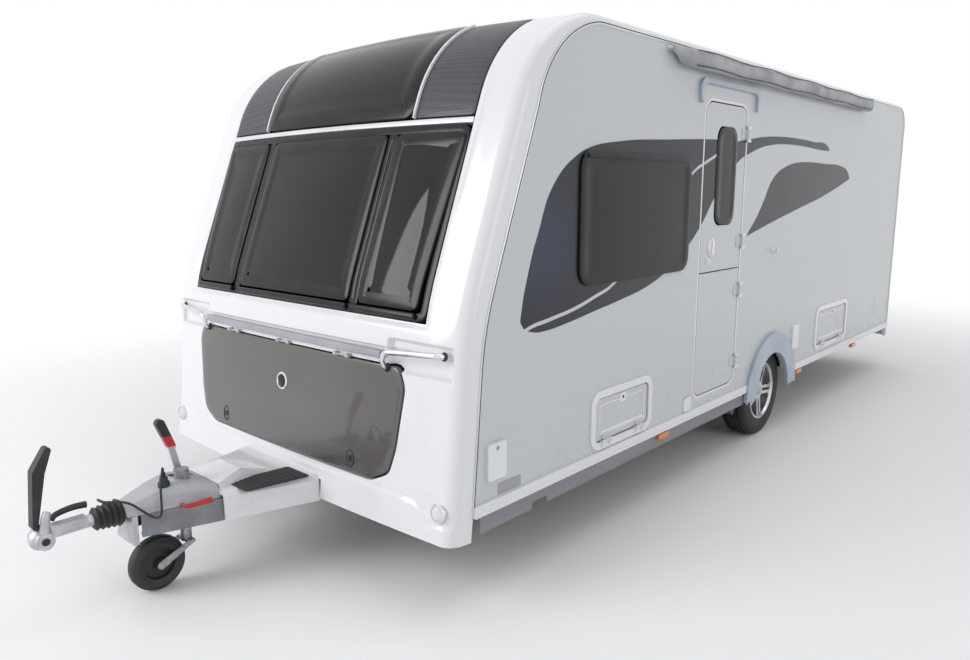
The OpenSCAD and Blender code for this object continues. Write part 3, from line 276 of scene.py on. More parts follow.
def skin_rows():
    """The side view of the skin as rows of length, lean at the start, lean at the end."""
    def cut(r, a, b):
        return r * math.tan((b - a) / 2)
    knee, brow = cut(KNEE_R, FOOT_LEAN, SCREEN_LEAN), cut(BROW_R, SCREEN_LEAN, LEVEL)
    rear, drop = cut(REAR_R, LEVEL, REAR_LEAN), math.pi - REAR_LEAN
    brow_y = (KNEE_Z - FOOT_Z) * math.tan(FOOT_LEAN) + (ROOF_Z - KNEE_Z) * math.tan(SCREEN_LEAN)
    roof_end = BODY_L - (ROOF_Z - FOOT_Z) * math.tan(drop) - rear
    return [((KNEE_Z - FOOT_Z) / math.cos(FOOT_LEAN) - knee, FOOT_LEAN, FOOT_LEAN),
            (KNEE_R * (SCREEN_LEAN - FOOT_LEAN), FOOT_LEAN, SCREEN_LEAN),
            ((ROOF_Z - KNEE_Z) / math.cos(SCREEN_LEAN) - knee - brow, SCREEN_LEAN, SCREEN_LEAN),
            (BROW_R * (LEVEL - SCREEN_LEAN), SCREEN_LEAN, LEVEL),
            (roof_end - brow_y - brow, LEVEL, LEVEL),
            (REAR_R * (REAR_LEAN - LEVEL), LEVEL, REAR_LEAN),
            ((ROOF_Z - FOOT_Z) / math.cos(drop) - rear, REAR_LEAN, REAR_LEAN)]


ROWS = skin_rows()
ENDS = [sum(r[0] for r in ROWS[:i]) for i in range(len(ROWS) + 1)]
S_ROOF, S_REAR, S_END = ENDS[4], ENDS[5], ENDS[7]


def skin_at(s):
    """y behind the foot, z and lean of the skin, s metres along it from its front foot."""
    y, z = 0.0, FOOT_Z
    for i, (length, a, b) in enumerate(ROWS):
        d = s - ENDS[i]
        last = d <= length or i == len(ROWS) - 1
        d = d if last else length
        lean = a + (b - a) * d / length
        if a == b:
            y, z = y + d * math.sin(a), z + d * math.cos(a)
        else:
            r = length / (b - a)
            y, z = y + r * (math.cos(a) - math.cos(lean)), z + r * (math.sin(lean) - math.sin(a))
        if last:
            return y, z, lean


def bow(x):
    return CROWN * (1 - (x / HALF) ** 2)


def on_skin(x, s, out=0.0):
    """The row frame's point at x across and s up the skin, and out metres proud of it."""
    y, z, lean = skin_at(s)
    d = out + bow(x)
    return Vector((x, behind_foot(y - d * math.cos(lean)), z + d * math.sin(lean)))


def s_at(z):
    """How far up the skin the front stands at height z, below the knee."""
    return (z - FOOT_Z) / math.cos(FOOT_LEAN)


def eased(t):
    t = min(max(t, 0.0), 1.0)
    return t * t * (3 - 2 * t)


def section_mix(s, front, roof, rear):
    """A size that changes from the front to the roof to the rear along the skin."""
    f = min(max((s - ENDS[3]) / ROWS[3][0], 0), 1)
    r = min(max((s - S_REAR) / ROWS[5][0], 0), 1)
    return front + (roof - front) * f + (rear - roof) * r


def flange(s):
    return section_mix(s, 0.113, 0.034, 0.080)


def edge_r(s):
    return section_mix(s, 0.060, 0.031, 0.060)


def piece(name, points, faces, finishes, body, replaced=(), slot=None, sharp=35, marks=None):
    """A mesh that rides on a body. marks gives each face's finish, by number."""
    finishes = finishes if isinstance(finishes, list) else [finishes]
    mesh = bpy.data.meshes.new(name)
    mesh.from_pydata([tuple(p) for p in points], [], faces)
    if marks:
        mesh.polygons.foreach_set("material_index", marks)
    form = bmesh.new()
    form.from_mesh(mesh)
    bmesh.ops.remove_doubles(form, verts=form.verts, dist=1e-6)
    bmesh.ops.recalc_face_normals(form, faces=form.faces)
    form.to_mesh(mesh)
    form.free()
    for finish in finishes:
        mesh.materials.append(finish.material)
    mesh.shade_smooth()
    mesh.set_sharp_from_angle(angle=math.radians(sharp))
    made = bpy.data.objects.new(name, mesh)
    bpy.context.scene.collection.objects.link(made)
    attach(made, body)
    if replaced:
        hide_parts(*([replaced] if isinstance(replaced, str) else replaced))
    return made


def spaced(a, b, n):
    return [a + (b - a) * i / n for i in range(n + 1)]


def half_section(r, reach, t):
    """Half of the moulding's section from its middle to its return: x, depth."""
    w, q = HALF - t, max(r - t, 0.003)
    flat = [((w - q) * i / 22, t - bow((w - q) * i / 22)) for i in range(23)]
    turn = [(w - q + q * math.sin(a), t + q - q * math.cos(a) - bow(w - q) * (1 - a / LEVEL))
            for a in spaced(0, LEVEL, 9)[1:]]
    return flat + turn + [(w, t + q + (reach - t - q) * k) for k in (0.5, 1.0)]


def shell(name, stations, columns_at, hole, relief):
    """Points and faces of a moulding along the stations, with a hole and a relief."""
    sheets = []
    for t in (0, WALL):
        grid = []
        for s in stations:
            half = half_section(edge_r(s), flange(s), t)
            half = sorted(half[:23] + [(x, t - bow(x)) for x in columns_at]) + half[23:]
            row = [(-x, d) for x, d in reversed(half[1:])] + half
            y, z, lean = skin_at(s)
            points = []
            for x, d in row:
                d = d - (relief(x, s, z) if t == 0 else 0)
                points.append(Vector((x, behind_foot(y + d * math.cos(lean)), z - d * math.sin(lean))))
            grid.append((points, [x for x, _ in row]))
        sheets.append(grid)
    n = len(sheets[0][0][0])
    points = [p for sheet in sheets for row, _ in sheet for p in row]
    layer = len(stations) * n
    faces, rims = [], {}
    for i in range(len(stations) - 1):
        for j in range(n - 1):
            xs = sheets[0][i][1]
            if hole and hole(0.5 * (xs[j] + xs[j + 1]), 0.5 * (stations[i] + stations[i + 1])):
                continue
            a, b, c, d = i * n + j, i * n + j + 1, (i + 1) * n + j + 1, (i + 1) * n + j
            faces += [(a, b, c, d), (layer + d, layer + c, layer + b, layer + a)]
            for edge in ((a, b), (b, c), (c, d), (d, a)):
                key = tuple(sorted(edge))
                rims[key] = None if key in rims else edge
    faces += [(e[1], e[0], layer + e[0], layer + e[1]) for e in rims.values() if e]
    return points, faces


def cut_away(target, tools):
    """Cuts closed tool meshes out of target and leaves the plain mesh."""
    for i, (points, faces) in enumerate(tools):
        mesh = bpy.data.meshes.new(f"tool_{i}")
        mesh.from_pydata([tuple(p) for p in points], [], faces)
        form = bmesh.new()
        form.from_mesh(mesh)
        bmesh.ops.recalc_face_normals(form, faces=form.faces)
        form.to_mesh(mesh)
        form.free()
        tool = bpy.data.objects.new(f"tool_{i}", mesh)
        bpy.context.scene.collection.objects.link(tool)
        step = target.modifiers.new("cut", "BOOLEAN")
        step.operation, step.solver, step.object = "DIFFERENCE", "EXACT", tool
        view = bpy.context.evaluated_depsgraph_get()
        cut = bpy.data.meshes.new_from_object(target.evaluated_get(view))
        target.modifiers.clear()
        old, target.data = target.data, cut
        bpy.data.meshes.remove(old)
        bpy.data.objects.remove(tool)
        bpy.data.meshes.remove(mesh)
    target.data.shade_smooth()
    target.data.set_sharp_from_angle(angle=math.radians(28))


def prism(outline, place, low, high):
    """A closed solid on an outline, between two heights of its place."""
    n = len(outline)
    points = [place(u, v, h) for h in (low, high) for u, v in outline]
    faces = [tuple(range(n)), tuple(range(2 * n - 1, n - 1, -1))]
    return points, faces + [(i, (i + 1) % n, n + (i + 1) % n, n + i) for i in range(n)]


def block(low, high):
    x0, y0, z0, x1, y1, z1 = *low, *high
    return prism([(x0, y0), (x1, y0), (x1, y1), (x0, y1)], lambda u, v, h: Vector((u, v, h)), z0, z1)


def round_poly(corners, radius, n=6):
    """An outline with each corner rounded. A corner may carry its own radius."""
    out = []
    for i, corner in enumerate(corners):
        r = corner[2] if len(corner) > 2 else radius
        here = Vector(corner[:2])
        a, b = Vector(corners[i - 1][:2]), Vector(corners[(i + 1) % len(corners)][:2])
        r = min(r, (a - here).length * 0.49, (b - here).length * 0.49)
        p, q = here + (a - here).normalized() * r, here + (b - here).normalized() * r
        for t in spaced(0, 1, n):
            out.append(tuple(p * (1 - t) ** 2 + here * 2 * t * (1 - t) + q * t * t))
    return out


def round_rect(u0, v0, u1, v1, r, n=6):
    return round_poly([(u0, v0), (u1, v0), (u1, v1), (u0, v1)], r * 1.25, n)


def dense(outline, step):
    """The outline with points added so that no side is longer than step."""
    out = []
    for a, b in zip(outline, outline[1:] + outline[:1]):
        n = max(1, math.ceil(math.dist(a, b) / step))
        out += [(a[0] + (b[0] - a[0]) * k / n, a[1] + (b[1] - a[1]) * k / n) for k in range(n)]
    return out


def inset(outline, by):
    """The outline moved inwards. It runs anticlockwise."""
    out, n = [], len(outline)
    for i, p in enumerate(outline):
        a, b = Vector(outline[i - 1]), Vector(outline[(i + 1) % n])
        before, after = (Vector(p) - a), (b - Vector(p))
        if before.length < 1e-7 or after.length < 1e-7:
            side = (b - a).normalized()
            reach = 1.0
        else:
            side = (before.normalized() + after.normalized()).normalized()
            reach = 1 / max(0.5, side.dot(after.normalized()))
        out.append((p[0] - side.y * by * reach, p[1] + side.x * by * reach))
    return out


# Glossy white gel coat: a long soft ripple, faint road dust low down, and dull patches.
gel_white = Finish("gel_white")
ripple, low_dust = gel_white.noise(2.2, 2), gel_white.axis("Z").ease(0.95, 0.25)
specks = gel_white.noise(60, 5).ease(0.56, 0.74) * low_dust
gel_white.shade(
    Base_Color=gel_white.blend(specks * 0.4 + low_dust * 0.06, (0.80, 0.80, 0.825), (0.48, 0.47, 0.46)),
    Roughness=specks * 0.3 + ripple * 0.08 + 0.16, Coat_Weight=0.35, Coat_Roughness=0.06,
    Normal=gel_white.relief(gel_white.noise(3.0, 1), 0.004, 0.25))
dress(white_moulding=gel_white)

LOCKER = [(-0.655, 0.478), (0.655, 0.478), (0.765, 0.530), (0.800, 0.640), (0.838, 0.905), (0.800, 0.985),
          (-0.800, 0.985), (-0.838, 0.905), (-0.800, 0.640), (-0.765, 0.530)]


def front_relief(x, s, z):
    """How far the front moulding stands proud: bumper step, shelf and handle pockets."""
    if s > 1.9:
        return 0.0
    ax = abs(x)
    crease = 0.452 - 0.072 * eased((ax - 0.90) / 0.17)
    out = 0.011 * eased((crease - z) / 0.012) * eased((1.145 - ax) / 0.02)
    shelf = eased((z - 1.052) / 0.010) * (1 - eased((s - 0.84) / 0.030) * eased((0.960 - ax) / 0.025))
    out += 0.013 * shelf * (1 - eased((s - 0.95) / 0.5) * eased((ax - 0.93) / 0.05)) * eased((1.10 - ax) / 0.1)
    pocket = eased((ax - 0.735) / 0.02) * eased((1.098 - ax) / 0.02)
    pocket *= eased((z - 0.962) / 0.012) * eased((1.100 - z) / 0.012)
    return out - 0.024 * pocket


def on_front(x, z, out=0.0):
    """A point on the lower front at height z."""
    return on_skin(x, s_at(z), out)


locker_hole = dense(round_poly(LOCKER, 0.030, 4), 0.05)
grown = inset(locker_hole, -0.007)
front_stations = sorted(set(
    spaced(0, 0.30, 22) + spaced(0.30, 0.66, 10) + spaced(0.66, 0.90, 34) + spaced(0.90, SCREEN_S1, 12)
    + [SCREEN_S0, SCREEN_S1, BROW_S0, BROW_S1] + spaced(BROW_S0, S_ROOF, 34)))
front = piece("front_moulding", *shell(
    "front", front_stations, [0.72, 0.735, 0.745, 0.755, 0.775, 0.955, SCREEN_HALF, 0.965], lambda x, s:
    abs(x) < SCREEN_HALF and SCREEN_S0 < s < BROW_S1, front_relief), gel_white, "caravan",
    "front_panel", "white_moulding", 28)
arm_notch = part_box("step_cover")[1].x + 0.008
cut_away(front, [
    prism(grown, lambda u, v, h: Vector((u, h, v)), behind_foot(-0.2), behind_foot(0.3)),
    block((-arm_notch, behind_foot(-0.1), 0.2), (arm_notch, behind_foot(0.2), 0.398))])

roof = piece("roof_moulding", *shell("roof", spaced(S_ROOF, S_REAR, 6), [], None, lambda x, s, z: 0.0),
             gel_white, "caravan", "roof", "white_moulding", 28)
VENTS = [(0, 1.550, 0.400), (0, 3.350, 0.560), (-0.420, 4.550, 0.280)]
cut_away(roof, [block((x - w / 2, behind_foot(y) - w / 2, 2.2), (x + w / 2, behind_foot(y) + w / 2, 2.7))
                for x, y, w in VENTS])

REAR_PANE = (-0.450, 1.320, 0.450, 1.840)


def rear_relief(x, s, z):
    """The rear's bumper step and a shallow place for the number plate."""
    out = 0.008 * eased((0.50 - z) / 0.014) * eased((1.145 - abs(x)) / 0.02)
    plate = eased((0.285 - abs(x)) / 0.012) * eased((z - 0.785) / 0.012) * eased((0.935 - z) / 0.012)
    return out - 0.010 * plate


rear_stations = spaced(S_REAR, ENDS[6], 12) + spaced(ENDS[6], S_END, 70)[1:]
rear = piece("rear_moulding", *shell("rear", rear_stations, [0.27, 0.285, 0.297], None, rear_relief),
             gel_white, "caravan", "rear_panel", "white_moulding", 28)
cut_away(rear, [prism(dense(round_rect(*REAR_PANE, 0.070), 0.1), lambda u, v, h: Vector((u, h, v)),
                      behind_foot(BODY_L - 0.3), behind_foot(BODY_L + 0.2))])

# --- Side walls, door and hatch skins ---------------------------------------------------
# Flat painted sheet, pale grey-white, with vinyl graphics: a dark sweep round the window
# with a fine dot texture and a white line in it, and a leaf-shaped panel behind the door.
SWEEP_TOP = [
    (0.40, 1.10), (0.415, 1.16), (0.43, 1.25), (0.452, 1.321), (0.496, 1.451), (0.542, 1.553),
    (0.587, 1.663), (0.635, 1.729), (0.696, 1.79), (0.773, 1.84), (0.879, 1.886), (1.14, 1.928),
    (1.649, 1.96), (2.137, 1.983), (2.457, 1.99), (2.788, 2.028), (3.084, 2.044), (3.412, 2.046),
    (3.681, 2.038), (3.971, 2.024), (4.03, 1.99), (4.06, 1.95), (5.0, 1.95)]
SWEEP_FOOT = [
    (0.40, 1.24), (0.43, 1.14), (0.497, 1.111), (0.578, 1.104), (0.747, 1.118), (0.972, 1.148),
    (1.188, 1.176), (1.44, 1.219), (1.637, 1.282), (1.806, 1.367), (2.011, 1.514), (2.164, 1.666),
    (2.472, 1.88), (2.608, 1.922), (2.764, 1.961), (2.942, 1.986), (3.172, 1.999), (3.421, 2.0),
    (3.98, 1.986), (4.06, 1.99), (5.0, 2.1)]
WHITE_LINE = [(0.0, 0.9), (0.461, 1.127), (0.615, 1.15), (0.799, 1.176), (0.969, 1.216),
              (1.104, 1.254), (1.902, 1.806), (2.024, 1.852), (2.151, 1.895), (2.6, 2.05), (5.0, 2.9)]
LEAF_TOP = [(0.0, 1.0), (2.6, 1.39), (2.626, 1.422), (2.764, 1.534), (2.873, 1.648), (2.948, 1.742),
            (3.051, 1.81), (3.2, 1.857), (3.36, 1.884), (3.621, 1.896), (3.904, 1.893), (4.378, 1.876),
            (4.47, 1.852), (4.544, 1.79), (4.58, 1.72), (5.0, 1.2)]
LEAF_FOOT = [(0.0, 1.6), (2.6, 1.415), (2.626, 1.42), (3.106, 1.51), (3.511, 1.58), (3.961, 1.657),
             (4.544, 1.79), (5.0, 1.92)]
SPAN = 5.0
VINYL_EDGE = 0.002


def line_over(finish, along, points):
    """A height that follows points of (length, height), by length."""
    shape = [(u / SPAN, v / SPAN) for u, v in points]
    return finish.add("ShaderNodeFloatCurve", {"curve": [shape[0], shape[-1]] + shape[1:-1]},
                      {"Value": along / SPAN, "Factor": 1.0}) * SPAN


wall_skin = Finish("wall_skin")
length, level = wall_skin.axis("Y") - FOOT_Y, wall_skin.axis("Z")
outside = abs(wall_skin.axis("X")).ease(HALF - 0.010, HALF - 0.006)
top, foot = line_over(wall_skin, length, SWEEP_TOP), line_over(wall_skin, length, SWEEP_FOOT)
white_line = line_over(wall_skin, length, WHITE_LINE)
leaf_top, leaf_foot = line_over(wall_skin, length, LEAF_TOP), line_over(wall_skin, length, LEAF_FOOT)
sweep = (top - level).ease(-VINYL_EDGE, VINYL_EDGE) * (level - foot).ease(-VINYL_EDGE, VINYL_EDGE)
sweep = sweep * length.ease(0.405, 0.412) * (1.0 - abs(level - white_line).ease(0.010, 0.007))
leaf = (leaf_top - level).ease(-VINYL_EDGE, VINYL_EDGE) * (level - leaf_foot).ease(-VINYL_EDGE, VINYL_EDGE)
graphic = (sweep + leaf * length.ease(2.60, 2.63)) * outside
dots = wall_skin.add("ShaderNodeTexVoronoi", {"feature": "F1"}, {
    "Vector": wall_skin.stretched((0, 1, 1)), "Scale": 90.0, "Randomness": 0.0}, "Distance")
dot = dots.ease(0.42, 0.30)
sheen = wall_skin.noise(1.6, 2, stretch=(0.2, 1, 1))
lower_lobe = (white_line - level).ease(0.0, 0.02)
vinyl_and_painted_reflection = wall_skin.blend(dot * 0.7 + sheen * 0.3, (0.009, 0.011, 0.017), (0.026, 0.030, 0.042))
vinyl_and_painted_reflection = wall_skin.blend(lower_lobe, vinyl_and_painted_reflection, (0.026, 0.027, 0.033))
# A painted blue-grey reflection over the front of the dark sweep, about 1.15 m to 1.8 m up; from here on the
# vinyl colour carries this painted reflection.
painted_reflection = level.ease(1.15, 1.45) * (1.0 - level.ease(1.5, 1.8)) * length.ease(0.9, 0.5)
vinyl_and_painted_reflection = wall_skin.blend(painted_reflection * 0.55, vinyl_and_painted_reflection, (0.030, 0.052, 0.105))
dust = wall_skin.noise(7, 4).ease(0.45, 0.8) * (1.0 - level.ease(0.45, 0.95))
paint = wall_skin.blend(dust * 0.16, (0.585, 0.61, 0.615), (0.42, 0.42, 0.405))
inner_lining = wall_skin.blend(wall_skin.noise(400, 2), (0.45, 0.42, 0.38), (0.55, 0.52, 0.47))
skin_colour = wall_skin.blend(outside, inner_lining, paint)
wall_skin.shade(
    Base_Color=wall_skin.blend(graphic, skin_colour, vinyl_and_painted_reflection),
    Roughness=wall_skin.noise(3.0, 2) * 0.08 + dust * 0.25 + 0.20 + graphic * 0.10,
    Coat_Weight=0.08, Coat_Roughness=0.08, Specular_IOR_Level=0.35,
    Normal=wall_skin.relief(wall_skin.noise(1.3, 2), 0.010, 0.12))
dress(wall_white=wall_skin)

# --- The lead's plug and where the lead belongs -------------------------------------------
# A round plug in black moulded plastic, with a ribbed grip and a boot over the lead. It is
# pushed into a parking holder on the step cover.


def coated(name, low, high, rough, spread=0.15, scale=6.0, grain=600.0, bump=0.0002, metal=0.0,
           stretch=None, **more):
    """A finish of two shades in soft patches, with a fine grain on the surface."""
    finish = Finish(name)
    patch, fine = finish.noise(scale, 4, stretch=stretch), finish.noise(grain, 2)
    finish.shade(Base_Color=finish.blend(patch.ease(0.25, 0.75), low, high),
                 Roughness=patch * spread + rough, Metallic=metal,
                 Normal=finish.relief(fine, bump, 0.4), **more)
    return finish


black_plastic = coated("black_plastic", (0.008, 0.008, 0.009), (0.026, 0.026, 0.028), 0.38, 0.25, 25,
                       1200, 0.0004)
dress(black_plastic=black_plastic)


def loft(rings, wrap=False, ends=(0, -1)):
    """Faces between closed rings of one count. The named ends are closed unless it wraps."""
    n, points = len(rings[0]), [p for ring in rings for p in ring]
    faces = []
    pairs = list(zip(range(len(rings)), range(1, len(rings)))) + ([(len(rings) - 1, 0)] if wrap else [])
    for a, b in pairs:
        faces += [(a * n + i, a * n + (i + 1) % n, b * n + (i + 1) % n, b * n + i) for i in range(n)]
    if not wrap:
        for k in (e % len(rings) for e in ends):
            middle = sum(rings[k], Vector()) / n
            points = points + [middle]
            faces += [(k * n + i, k * n + (i + 1) % n, len(points) - 1) for i in range(n)]
    return points, faces


def joined(parts):
    """One mesh's points and faces from several."""
    points, faces = [], []
    for more, sides in parts:
        faces += [tuple(i + len(points) for i in side) for side in sides]
        points += more
    return points, faces


def turned(centre, profile, axis="Z", n=40, ribs=0, rib=0.0):
    """A closed form turned on an axis. profile is (along, radius) from end to end."""
    out = []
    for along, r in profile:
        ring = []
        for k in range(n):
            a = math.tau * k / n
            rr = r * (1 + (rib * math.cos(ribs * a) if ribs else 0))
            p, q = rr * math.cos(a), rr * math.sin(a)
            ring.append(Vector(centre) + Vector({"Z": (p, q, along), "X": (along, p, q),
                                                 "Y": (q, along, p)}[axis]))
        out.append(ring)
    return loft(out)


PLUG_AT = (0.040, behind_foot(-0.628), 0.470)
plug = piece("lead_plug", *joined([
    turned(PLUG_AT, [(-0.0355, 0.0235), (-0.034, 0.024), (0.012, 0.024), (0.016, 0.0225)], ribs=20, rib=0.02,
           n=80),
    turned(PLUG_AT, [(0.0158, 0.0200), (0.0195, 0.0168), (0.034, 0.0168), (0.040, 0.0135)], ribs=12, rib=0.03,
           n=72),
    turned(PLUG_AT, [(0.0398, 0.0098), (0.046, 0.0098), (0.0475, 0.0080), (0.050, 0.0098), (0.0515, 0.0080),
                     (0.054, 0.0095), (0.0555, 0.0078), (0.0596, 0.0070)])]),
    black_plastic, "caravan", "plug", "black_plastic")
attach(lead, "caravan")
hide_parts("lead")

# --- Front windows, silver band and roof panels -------------------------------------------
# Three blown acrylic panes, dark tinted, with wide black printed borders, hinged at the top.
# Above them a silver band, two charcoal textured panels and a framed glass skylight.
gloss_black = coated("gloss_black", (0.005, 0.005, 0.006), (0.012, 0.012, 0.014), 0.12, 0.12, 8, 300,
                     Specular_IOR_Level=0.3)
glazing = Finish("tinted_glazing")
haze = glazing.noise(2.5, 3)
glazing.shade(Base_Color=glazing.blend(haze, (0.010, 0.009, 0.009), (0.026, 0.023, 0.024)),
              Roughness=haze * 0.05 + 0.02, Transmission_Weight=0.30, IOR=1.36,
              Normal=glazing.relief(glazing.noise(1.2, 1), 0.004, 0.2))
charcoal = Finish("charcoal_textured")
cell = charcoal.add("ShaderNodeTexVoronoi", {}, {"Vector": charcoal.place, "Scale": 70.0,
                                                 "Randomness": 0.15}, "Distance")
charcoal.shade(Base_Color=charcoal.blend(cell.ease(0.2, 0.6), (0.050, 0.056, 0.070), (0.028, 0.031, 0.040)),
               Roughness=cell * 0.3 + 0.34, Normal=charcoal.relief(cell, 0.0006, 0.6), Coat_Weight=0.15)
silver_band = coated("silver_band", (0.62, 0.63, 0.65), (0.76, 0.77, 0.79), 0.2, 0.12, 2, 900, 0.0001, 0.3,
                     Coat_Weight=0.4)
dress(gloss_black=gloss_black, tinted_pane=glazing, charcoal=charcoal)


def filled(outline, step):
    """Flat points and faces inside an outline, with points about step apart."""
    us, vs = [p[0] for p in outline], [p[1] for p in outline]
    ring = [Vector(p) for p in outline]
    inside = []
    nu, nv = math.ceil((max(us) - min(us)) / step), math.ceil((max(vs) - min(vs)) / step)
    for i in range(1, nu):
        for j in range(1, nv):
            p = Vector((min(us) + (max(us) - min(us)) * i / nu, min(vs) + (max(vs) - min(vs)) * j / nv))
            crossings, near = 0, 9.0
            for a, b in zip(ring, ring[1:] + ring[:1]):
                if (a.y > p.y) != (b.y > p.y) and p.x < a.x + (p.y - a.y) * (b.x - a.x) / (b.y - a.y):
                    crossings += 1
                along = min(max((p - a).dot(b - a) / max((b - a).length_squared, 1e-12), 0), 1)
                near = min(near, (a + (b - a) * along - p).length)
            if crossings % 2 and near > step * 0.45:
                inside.append(p)
    made = geometry.delaunay_2d_cdt(ring + inside, [], [list(range(len(ring)))], 1, 1e-7)
    return [tuple(p) for p in made[0]], [tuple(f) for f in made[2]]


def panel(outline, place, back, face, bevel=0.003, steps=((0.0, 0.0),), grid=0.06):
    """A plate with a round edge. steps are (inset, height over the face) rings before the
    middle, which is a net of points about grid apart."""
    rings = [[place(u, v, back) for u, v in outline]]
    for k in range(4):
        a = LEVEL * k / 3
        ring = inset(outline, bevel * (1 - math.cos(a)))
        rings.append([place(u, v, face - bevel + bevel * math.sin(a)) for u, v in ring])
    edge = outline
    for by, up in steps:
        edge = inset(outline, bevel + by)
        if by or up:
            rings.append([place(u, v, face + up) for u, v in edge])
    lift = face + steps[-1][1]
    points, faces = loft(rings, ends=(0,))
    flat, net = filled(edge, grid)
    return joined([(points, faces), ([place(u, v, lift) for u, v in flat], net)])


def swelled(outline, place, rise, lift=0.0):
    """A place whose middle rises smoothly by rise over the outline's rectangle."""
    us, vs = [p[0] for p in outline], [p[1] for p in outline]
    cu, cv = (min(us) + max(us)) / 2, (min(vs) + max(vs)) / 2
    hu, hv = (max(us) - min(us)) / 2, (max(vs) - min(vs)) / 2

    def at(u, v, out):
        swell = max(0, 1 - ((u - cu) / hu) ** 2) * max(0, 1 - ((v - cv) / hv) ** 2)
        return place(u, v, out + (rise * swell if out > lift - 0.004 else 0))
    return at


def frame_ring(outer, width, place, back, face, bevel=0.003):
    """A flat frame with round edges on an outline."""
    inner = inset(outer, width)
    turns = [LEVEL * k / 3 for k in range(4)]
    rings = [[place(u, v, back) for u, v in outer]]
    rings += [[place(u, v, face - bevel + bevel * math.sin(a))
               for u, v in inset(outer, bevel * (1 - math.cos(a)))] for a in turns]
    rings += [[place(u, v, face - bevel + bevel * math.sin(a))
               for u, v in inset(inner, -bevel * (1 - math.cos(a)))] for a in reversed(turns)]
    rings.append([place(u, v, back) for u, v in inner])
    return loft(rings, wrap=True)


BORDER_ROWS = 8


def bordered(name, outline, place, back, face, border, body, replaced, slot="tinted_pane",
             inner=glazing, lift=0.0, grid=0.05):
    """A pane with a black border and a tinted middle."""
    outline = dense(outline, 0.12)
    points, faces = panel(outline, place, back, face, 0.005, (
        (0.0, 0.0), (border * 0.5, lift * 0.7), (border, lift), (border + 0.004, lift - 0.001)), grid)
    edge_faces = len(outline) * BORDER_ROWS
    marks = [0 if i < edge_faces else 1 for i in range(len(faces))]
    return piece(name, points, faces, [gloss_black, inner], body, replaced, slot, 40, marks)


for i, (a, b, c, d) in enumerate([(-0.449, 0.449, -0.449, 0.449), (0.507, 0.876, 0.507, 0.920),
                                  (-0.876, -0.507, -0.920, -0.507)]):
    s0, s1 = 0.914, 1.686
    corners = [(a + 0.003, s0 + 0.003), (b - 0.003, s0 + 0.003), (d - 0.003, s1 - 0.003),
               (c + 0.003, s1 - 0.003)]
    pane_line = dense(round_poly(corners, 0.035), 0.06)
    bordered(f"front_pane_{i}", pane_line, swelled(pane_line, on_skin, 0.008, 0.010), -0.022, 0.010, 0.045,
             "caravan", "front_windows")
frame_steps = joined([
    frame_ring(dense(round_rect(-0.927, 0.875, 0.927, 1.719, 0.05), 0.1), 0.034, on_skin, -0.028, 0.003),
    *[frame_ring(dense(round_rect(x - 0.027, 0.905, x + 0.027, 1.690, 0.01), 0.1), 0.0265, on_skin, -0.028,
                 0.004)
      for x in (-0.478, 0.478)]])
surround = piece("front_window_surround", *frame_steps, gloss_black, "caravan", "front_window_frame",
                 "gloss_black")
sills = []
for x0, x1 in ((-0.872, -0.515), (-0.442, 0.442), (0.515, 0.872)):
    bar = dense(round_rect(x0, 0.882, x1, 0.910, 0.012), 0.08)
    sills.append(panel(bar, on_skin, -0.01, 0.020, 0.008))
piece("front_window_sills", *joined(sills), gloss_black, "caravan", (), "gloss_black")

band = dense(round_rect(-0.926, 1.7245, 0.926, 1.7495, 0.004), 0.08)
roof_panels = []
piece("silver_band", *panel(band, on_skin, -0.028, 0.0035, 0.003), silver_band, "caravan",
      "brow_panels", "charcoal")
for side in (-1, 1):
    outline = round_rect(min(side * 0.582, side * 0.924), 1.757, max(side * 0.582, side * 0.924), 2.345, 0.02)
    roof_panels.append(panel(dense(outline, 0.05), on_skin, -0.028, 0.003, 0.004))
piece("roof_side_panels", *joined(roof_panels), charcoal, "caravan", "brow_panels", "charcoal")
dividers = [panel(dense(round_rect(x - 0.0055, 1.757, x + 0.0055, 2.345, 0.001), 0.05), on_skin, -0.005,
                  0.0135, 0.002)
            for x in (-0.578, 0.578)]
piece("roof_panel_dividers", *joined(dividers), gel_white, "caravan", (), "white_moulding")
glass_line = dense(round_rect(-0.571, 1.756, 0.571, 2.346, 0.05), 0.03)
bordered("skylight_pane", glass_line, swelled(glass_line, on_skin, 0.006, 0.011), -0.012, 0.011, 0.075,
         "caravan", "skylight", lift=0.003, grid=0.035)

# --- Gas locker door, bar and handles ------------------------------------------------------
# A large metallic taupe lid in moulded plastic, bowed like the front, with a recessed lock at
# each side and a plated ring boss. A bowed grey bar and two chrome grab handles run above it.
taupe = coated("taupe_metallic", (0.086, 0.082, 0.079), (0.122, 0.116, 0.112), 0.26, 0.10, 1.5, 2200,
               0.0002, 0.55, Coat_Weight=0.7, Coat_Roughness=0.05)
inner_panel = coated("inner_panel", (0.46, 0.46, 0.47), (0.58, 0.58, 0.59), 0.5)
grey_gloss = coated("grey_gloss", (0.30, 0.31, 0.33), (0.38, 0.39, 0.41), 0.18, 0.12, 4, Coat_Weight=0.4)
anodised = coated("anodised", (0.62, 0.63, 0.64), (0.74, 0.75, 0.76), 0.28, 0.16, 5, 900, 0.0001, 0.9,
                  (1, 1, 0.08))
chrome = coated("chrome", (0.70, 0.71, 0.73), (0.80, 0.81, 0.83), 0.06, 0.08, 12, 300, 0.00005, 1.0)
dress(taupe_metallic=taupe, inner_panel=inner_panel, grey_gloss=grey_gloss, anodised=anodised)
lid_line = inset(locker_hole, 0.0015)
lid = piece("locker_lid", *panel(
    lid_line, swelled(lid_line, on_front, 0.004), -0.024, 0.004, 0.006,
    ((0.0, 0.0), (0.010, 0.0006), (0.020, 0.0012)), 0.04), taupe, "locker_door", "locker_door",
    "taupe_metallic")


